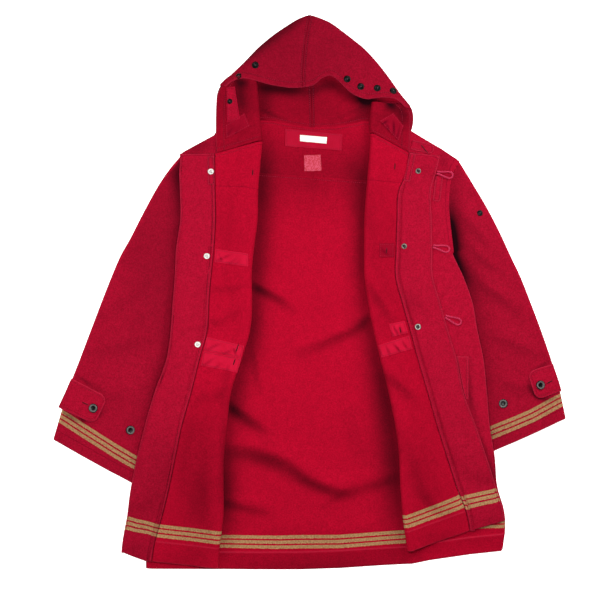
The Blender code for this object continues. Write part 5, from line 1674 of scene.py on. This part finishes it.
def wool_melton(side):
    """Heavy woollen cloth, fulled and napped: matt, with a speckle of raised hairs and soft clouds of colour.

    The weave doesn't show. The nap is drawn at about 3 mm, coarser than its hairs, so that it can be seen.
    """
    colours = NAPS[side]
    material, tree, shader = blank_material("wool melton " + side)
    place = add(tree, "ShaderNodeTexCoord", "Object")
    nap = add(tree, NOISE, "Fac", {"Vector": place, "Scale": 330.0, "Detail": 3.0, "Roughness": 0.65})
    hairs = add(tree, NOISE, "Fac", {"Vector": place, "Scale": 900.0, "Detail": 2.0, "Roughness": 0.6})
    clouds = add(tree, NOISE, "Fac", {"Vector": place, "Scale": 14.0, "Detail": 3.0, "Roughness": 0.5})
    mottle = add(tree, NOISE, "Fac", {"Vector": place, "Scale": 75.0, "Detail": 2.0, "Roughness": 0.5})
    weave, seams, rim = (read_map(tree, name) for name in MAPS)

    speckle = add(tree, RANGE, "Result", {"Value": nap, "From Min": 0.36, "From Max": 0.66})
    red = add(tree, MIX, 2, {0: speckle, 6: linear(colours.dark), 7: linear(colours.base)}, data_type="RGBA")
    for pattern, start, end, most, colour in (
        (hairs, 0.58, 0.80, colours.flecks, colours.light),
        (clouds, 0.35, 0.70, 0.20, colours.dark),
        (mottle, 0.40, 0.70, 0.12, "#4C0312"),
    ):
        limits = {"Value": pattern, "From Min": start, "From Max": end, "To Max": most}
        share = add(tree, RANGE, "Result", limits)
        red = add(tree, MIX, 2, {0: share, 6: red, 7: linear(colour)}, data_type="RGBA")

    off_centre = add(tree, MATH, 0, {0: nap, 1: 0.5}, operation="SUBTRACT")
    wobble = add(tree, MATH, 0, {0: off_centre, 1: STRIPE_WOBBLE * MM}, operation="MULTIPLY")
    above = add(tree, MATH, 0, {0: weave["Y"], 1: wobble}, operation="ADD")
    above = add(tree, MATH, 0, {0: above, 1: STRIPE_PITCH * MM}, operation="DIVIDE")
    phase = add(tree, MATH, 0, {0: above}, operation="FRACT")
    in_stripe = add(tree, MATH, 0, {0: phase, 1: STRIPE_WIDE / STRIPE_PITCH}, operation="LESS_THAN")
    over_first = add(tree, MATH, 0, {0: above, 1: 0.0}, operation="GREATER_THAN")
    under_last = add(tree, MATH, 0, {0: above, 1: STRIPES_WIDTH / STRIPE_PITCH}, operation="LESS_THAN")
    inside = add(tree, MATH, 0, {0: over_first, 1: under_last}, operation="MULTIPLY")
    stripe = add(tree, MATH, 0, {0: in_stripe, 1: inside}, operation="MULTIPLY")
    tan = add(tree, MIX, 2, {0: speckle, 6: linear("#8A6644"), 7: linear("#B28B60")}, data_type="RGBA")
    cloth = add(tree, MIX, 2, {0: stripe, 6: red, 7: tan}, data_type="RGBA")

    rows, columns = (ridge(tree, seams[axis], 0.8 * MM) for axis in "XY")
    lines = add(tree, MATH, 0, {0: rows, 1: columns}, operation="ADD")
    edge = ridge(tree, rim["X"], 1.6 * MM)
    # Seam lines are darker. A painted highlight runs along free edges and ridges (the rim map's first value);
    # painted shade comes from its second value.
    for mask, most, clamp, colour in (
        (lines, 0.42, True, "#5E0017"), (edge, 0.27, False, "#BC3450"), (rim["Y"], 0.93, True, "#1C0208"),
    ):
        share = add(tree, MATH, 0, {0: mask, 1: most}, operation="MULTIPLY", use_clamp=clamp)
        cloth = add(tree, MIX, 2, {0: share, 6: cloth, 7: linear(colour)}, data_type="RGBA")

    raised = add(tree, MATH, 0, {0: nap, 1: 0.8}, operation="MULTIPLY")
    fine = add(tree, MATH, 0, {0: hairs, 1: 0.35}, operation="MULTIPLY")
    height = add(tree, MATH, 0, {0: raised, 1: fine}, operation="ADD")
    pulled_in = add(tree, MATH, 0, {0: lines, 1: 0.5}, operation="MULTIPLY")
    height = add(tree, MATH, 0, {0: height, 1: pulled_in}, operation="SUBTRACT")
    feed(tree, shader, {
        "Base Color": cloth,
        "Normal": add(tree, BUMP, "Normal", {"Height": height, "Strength": 0.5, "Distance": 1.4 * MM}),
        "Roughness": 0.95,
        "Specular IOR Level": 0.04,
        "Sheen Weight": 0.04,
        "Sheen Roughness": 0.5,
        "Sheen Tint": linear("#E0405E"),
    })
    return material


def nylon_tape(name, dark, light):
    """Plain-woven nylon, calendered: thin, a little shiny, with fine ribs across it."""
    material, tree, shader = blank_material(name)
    place = add(tree, "ShaderNodeTexCoord", "Object")
    ribs = add(tree, WAVE, "Fac", {"Vector": place, "Scale": 420.0, "Distortion": 1.5, "Detail": 1.0},
               wave_type="BANDS", bands_direction="X")
    creases = add(tree, NOISE, "Fac", {"Vector": place, "Scale": 60.0, "Detail": 2.0})
    seam = ridge(tree, read_map(tree, "seams")["X"], 0.7 * MM)
    colour = add(tree, MIX, 2, {0: creases, 6: linear(dark), 7: linear(light)}, data_type="RGBA")
    # Seam lines are darker; the rim map's second value is painted shade, on the crinkles' sides away from the
    # light.
    for mask, most, clamp, shade in (
        (seam, 0.5, False, "#8A0A22"), (read_map(tree, "rim")["Y"], 0.8, True, "#5A0014"),
    ):
        share = add(tree, MATH, 0, {0: mask, 1: most}, operation="MULTIPLY", use_clamp=clamp)
        colour = add(tree, MIX, 2, {0: share, 6: colour, 7: linear(shade)}, data_type="RGBA")
    ribbed = add(tree, MATH, 0, {0: ribs, 1: 0.15}, operation="MULTIPLY")
    height = add(tree, MATH, 0, {0: ribbed, 1: creases}, operation="ADD")
    pulled_in = add(tree, MATH, 0, {0: seam, 1: 0.4}, operation="MULTIPLY")
    height = add(tree, MATH, 0, {0: height, 1: pulled_in}, operation="SUBTRACT")
    normal = add(tree, BUMP, "Normal", {"Height": height, "Strength": 0.5, "Distance": 1.2 * MM})
    feed(tree, shader, {"Base Color": colour, "Normal": normal, "Roughness": 0.7, "Specular IOR Level": 0.02})
    return material


def sewing_thread():
    """Twisted polyester thread, a little paler than the cloth; painted shadow, nearly black, in a
    buttonhole's slit.
    """
    material, tree, shader = blank_material("sewing thread")
    # Painted shadow: where the rim map's second value is 1, in a buttonhole's slit, the thread is painted
    # nearly black.
    slit = add(tree, MATH, 0, {0: read_map(tree, "rim")["Y"], 1: 1.0}, operation="MULTIPLY", use_clamp=True)
    colour = add(tree, MIX, 2, {0: slit, 6: linear("#96162F"), 7: linear("#120104")}, data_type="RGBA")
    feed(tree, shader, {"Base Color": colour, "Roughness": 0.8, "Specular IOR Level": 0.1})
    return material


def speckled_patch():
    """A woven square with a plain speckle of pale squares, 1.7 mm each, which says nothing."""
    material, tree, shader = blank_material("speckled satin")
    place = add(tree, "ShaderNodeTexCoord", "Object")
    cells = add(tree, "ShaderNodeVectorMath", 0, {0: place, 1: (1.7 * MM, 1.7 * MM, 1.0)}, operation="SNAP")
    chance = add(tree, "ShaderNodeTexWhiteNoise", "Value", {"Vector": cells})
    pale = add(tree, MATH, 0, {0: chance, 1: 0.52}, operation="GREATER_THAN")
    colour = add(tree, MIX, 2, {0: pale, 6: linear("#A8082A"), 7: linear("#B83450")}, data_type="RGBA")
    feed(tree, shader, {"Base Color": colour, "Roughness": 0.7})
    return material


def woven_tag():
    """White satin ribbon: fine, slightly shiny threads across it."""
    material, tree, shader = blank_material("woven tag")
    place = add(tree, "ShaderNodeTexCoord", "Object")
    threads = add(tree, WAVE, "Fac", {"Vector": place, "Scale": 500.0, "Distortion": 0.6},
                  wave_type="BANDS", bands_direction="Y")
    colour = add(tree, MIX, 2, {0: threads, 6: linear("#D8D5CE"), 7: linear("#F1EFEA")}, data_type="RGBA")
    feed(tree, shader, {"Base Color": colour, "Roughness": 0.55})
    return material


def braided_cord():
    """Round polyester braid over a core: slanting strands, a little paler than the cloth."""
    material, tree, shader = blank_material("braided cord")
    place = add(tree, "ShaderNodeTexCoord", "Object")
    strands = add(tree, WAVE, "Fac", {"Vector": place, "Scale": 260.0, "Distortion": 2.0},
                  wave_type="BANDS", bands_direction="DIAGONAL")
    colour = add(tree, MIX, 2, {0: strands, 6: linear("#961230"), 7: linear("#C63458")}, data_type="RGBA")
    normal = add(tree, BUMP, "Normal", {"Height": strands, "Strength": 0.5, "Distance": 0.6 * MM})
    feed(tree, shader, {"Base Color": colour, "Normal": normal, "Roughness": 0.7, "Specular IOR Level": 0.08})
    return material


def plated_brass():
    """Pressed brass, nickel plated: bright on the flat rim, dull grey in the middle."""
    material, tree, shader = blank_material("nickel plated brass")
    place = add(tree, "ShaderNodeTexCoord", "Object")
    marks = add(tree, NOISE, "Fac", {"Vector": place, "Scale": 900.0, "Detail": 2.0})
    radius = read_map(tree, "turned")["X"]
    middle = add(tree, RANGE, "Result", {"Value": radius, "From Min": 0.44, "From Max": 0.52})
    plating = add(tree, MIX, 2, {0: marks, 6: linear("#B2B0AB"), 7: linear("#CFCDC8")}, data_type="RGBA")
    colour = add(tree, MIX, 2, {0: middle, 6: linear("#A8A49E"), 7: plating}, data_type="RGBA")
    feed(tree, shader, {"Base Color": colour, "Metallic": 0.6, "Roughness": 0.5})
    return material


def dulled_brass(name, grey):
    """Pressed brass, nickel plated and worn: grey, with painted shadow, nearly black, in its mouth."""
    material, tree, shader = blank_material(name)
    radius = read_map(tree, "turned")["X"]
    # Painted shadow: inside radius 0.5, the socket's mouth is painted nearly black.
    mouth = add(tree, RANGE, "Result", {"Value": radius, "From Min": 0.5, "From Max": 0.62})
    colour = add(tree, MIX, 2, {0: mouth, 6: linear("#1A1213"), 7: linear(grey)}, data_type="RGBA")
    feed(tree, shader, {"Base Color": colour, "Metallic": 0.7, "Roughness": 0.42})
    return material


def lacquered_brass():
    """Pressed brass under black lacquer: glossy, a little paler in its raised middle."""
    material, tree, shader = blank_material("black lacquered brass")
    middle = ridge(tree, read_map(tree, "turned")["X"], 0.16)
    # The raised middle is painted a little paler.
    worn = add(tree, MATH, 0, {0: middle, 1: 0.7}, operation="MULTIPLY")
    colour = add(tree, MIX, 2, {0: worn, 6: linear("#030203"), 7: linear("#5A5656")}, data_type="RGBA")
    feed(tree, shader, {"Base Color": colour, "Roughness": 0.35, "Specular IOR Level": 0.12})
    return material


def grey_horn():
    """Buffalo horn, turned and polished: black edge, grey streaked ring and a dark, dull middle."""
    material, tree, shader = blank_material("grey horn")
    place = add(tree, "ShaderNodeTexCoord", "Object")
    streaks = add(tree, NOISE, "Fac", {"Vector": place, "Scale": 190.0, "Detail": 3.0})
    radius = read_map(tree, "turned")["X"]
    ring = add(tree, MIX, 2, {0: streaks, 6: linear("#1A1817"), 7: linear("#7C7876")}, data_type="RGBA")
    middle = add(tree, RANGE, "Result", {"Value": radius, "From Min": 0.46, "From Max": 0.56})
    horn = add(tree, MIX, 2, {0: middle, 6: linear("#060304"), 7: ring}, data_type="RGBA")
    edge = add(tree, RANGE, "Result", {"Value": radius, "From Min": 0.80, "From Max": 0.90})
    colour = add(tree, MIX, 2, {0: edge, 6: horn, 7: linear("#080707")}, data_type="RGBA")
    feed(tree, shader, {"Base Color": colour, "Roughness": 0.30, "Specular IOR Level": 0.16})
    return material


# ---------------------------------------------------------------- camera, floor and light
def set_camera():
    camera = bpy.data.objects.new("camera", bpy.data.cameras.new("camera"))
    bpy.context.collection.objects.link(camera)
    camera.location = (*VIEW_CENTRE, VIEW_HEIGHT)
    camera.data.sensor_width = SENSOR
    camera.data.lens = SENSOR * VIEW_HEIGHT / VIEW_WIDTH
    bpy.context.scene.camera = camera


Lamp = namedtuple("Lamp", "name x y z size power")
LAMPS = table(
    Lamp,
    ("left softbox", -1.25, 0.30, 0.90, 0.9, 9.0),
    ("right softbox", 1.10, 0.90, 0.90, 0.6, 16.0),
    ("overhead softbox", 0.0, -0.05, 1.40, 0.7, 19.0),
)


WHITE = (1, 1, 1, 1)
TABLE = 8.0  # from the middle of the table to each side, in metres
TABLE_GAP = 0.4  # the table lies this far below the coat


def set_stage():
    """An opal table top lit from below, two softboxes beside the coat and a third one over it."""
    mesh = bpy.data.meshes.new("table")
    corners = [(TABLE * x, TABLE * y, 0) for x, y in ((-1, -1), (1, -1), (1, 1), (-1, 1))]
    mesh.from_pydata(corners, [], [(0, 1, 2, 3)])
    table = bpy.data.objects.new("table", mesh)
    table.location.z = -TABLE_GAP * MM
    bpy.context.collection.objects.link(table)
    material, tree, shader = blank_material("opal acrylic")
    feed(tree, shader, {
        "Base Color": (0.9, 0.9, 0.9, 1), "Roughness": 0.9, "Emission Color": WHITE, "Emission Strength": 1.0,
    })
    mesh.materials.append(material)
    world = bpy.data.worlds.new("studio")
    world.use_nodes = True
    feed(world.node_tree, world.node_tree.nodes["Background"], {"Color": WHITE, "Strength": 0.14})
    bpy.context.scene.world = world
    for lamp in LAMPS:
        light = bpy.data.objects.new(lamp.name, bpy.data.lights.new(lamp.name, "AREA"))
        light.data.size = lamp.size
        light.data.energy = lamp.power
        light.location = lamp.x, lamp.y, lamp.z
        light.rotation_euler = (-Vector(light.location)).to_track_quat("-Z", "Y").to_euler()
        bpy.context.collection.objects.link(light)
    bpy.context.scene.view_settings.view_transform = "Standard"


def main():
    """Makes every piece. The lower ones come first, because the others are laid on them."""
    set_camera()
    cord_on = frame_surface(["front_right", "chest_tab", "sleeve_right"])
    cord = braided_cord()
    for loop in LOOPS:
        make_loop(loop, cord_on, cord)
    set_stage()

    outside, inside = wool_melton("outside"), wool_melton("inside")
    nylon = nylon_tape("nylon tape", "#A80826", "#BE1436")
    label_cloth = nylon_tape("label cloth", "#960822", "#A6102E")
    # A darker copy of the nylon tape; on the hood's patches the darkness is painted shade of the hood's
    # inside.
    darker_nylon = nylon_tape("dull nylon", "#7A031A", "#900723")
    cloths = {
        "back_yoke": [make_back("back_yoke", "back", "yoke")],
        "back_panel": [make_back("back_panel", "yoke", "back_hem")],
        "front_left": [make_front("front_left", LEFT)],
        "front_right": [make_front("front_right", RIGHT)],
        "band_left": [make_band("band_left", LEFT)],
        "band_right": [make_band("band_right", RIGHT)],
        "sleeve_left": [make_sleeve("sleeve_left", left_sleeve, LEFT)],
        "sleeve_right": [make_sleeve("sleeve_right", right_sleeve, RIGHT)],
        "hood_left": [make_hood(LEFT_HOOD, -1), make_flap(LEFT_FLAP, -1)],
        "hood_right": [make_hood(RIGHT_HOOD, 1), make_flap(RIGHT_FLAP, 1)],
    }
    for name, parts in cloths.items():
        wools = (outside,) if name.startswith("band") else (outside, inside)
        obj = make_piece(name + "_cloth", parts, wools, "wool melton", name)

    def on(*names):
        return surface([cloth for name in names for cloth in cloths[name]])

    def sew(name, cloth, material, slot, node=None):
        cloths[name] = [cloth]
        make_piece(name + "_cloth", [cloth], (material,), slot, node)

    for tape in TAPES:
        front = on("front_left" if tape.x0 < 0 else "front_right")
        ribbon = darker_nylon if tape.name == "tape_right_upper" else nylon
        sew(tape.name, make_patch(tape, front, TAPE_CLOTH), ribbon, "nylon tape", tape.name)
    label = make_patch(LABEL, on("back_yoke"), LABEL_CLOTH)
    sew("label_patch", label, label_cloth, "nylon tape", "label_patch")
    sew("label_tag", make_patch(TAG, surface([label]), TAG_CLOTH), woven_tag(), "woven tag", "label_tag")
    square = make_patch(SPECKLED, on("back_yoke"), SPECKLED_CLOTH, SPECKLED_GRID)
    sew("speckled_square", square, speckled_patch(), "nylon tape")
    for patch in HOOD_PATCHES:
        hood = on("hood_left" if patch.x0 < 0 else "hood_right")
        sew(patch.name, make_patch(patch, hood, TAPE_CLOTH), darker_nylon, "nylon tape")
    snap_patch = make_patch(SNAP_PATCH, on("hood_left"), SNAP_PATCH_CLOTH)
    sew("snap_patch_left", snap_patch, outside, "wool melton")
    for strip in STRIPS:
        sew(strip.name, make_strip(strip, on(strip.on)), outside, "wool melton", strip.name)
    sew("pocket_welt", make_welt(on("front_right")), outside, "wool melton", "pocket_welt")

    thread = sewing_thread()
    for i, slit in enumerate(SLITS):
        make_piece(f"buttonhole_{i + 1}", [make_slit(slit, on(slit.on))], (thread,), "wool melton")
    stitched = [name for name in cloths if name not in ("speckled_square", "label_tag")]
    lines = [line for name in stitched for cloth in cloths[name] for line in cloth.stitching]
    make_topstitching(lines, thread)

    metals = {
        "silver": (plated_brass(), "nickel stud"),
        "black": (lacquered_brass(), "black stud"),
        "horn": (grey_horn(), "horn"),
        "socket": (dulled_brass("worn nickel plated brass", "#85807A"), "nickel stud"),
        "dull socket": (dulled_brass("tarnished nickel plated brass", "#6E6660"), "nickel stud"),
    }
    for stud in STUDS:
        make_stud(stud, on(*stud.on), *metals[stud.kind])


main()
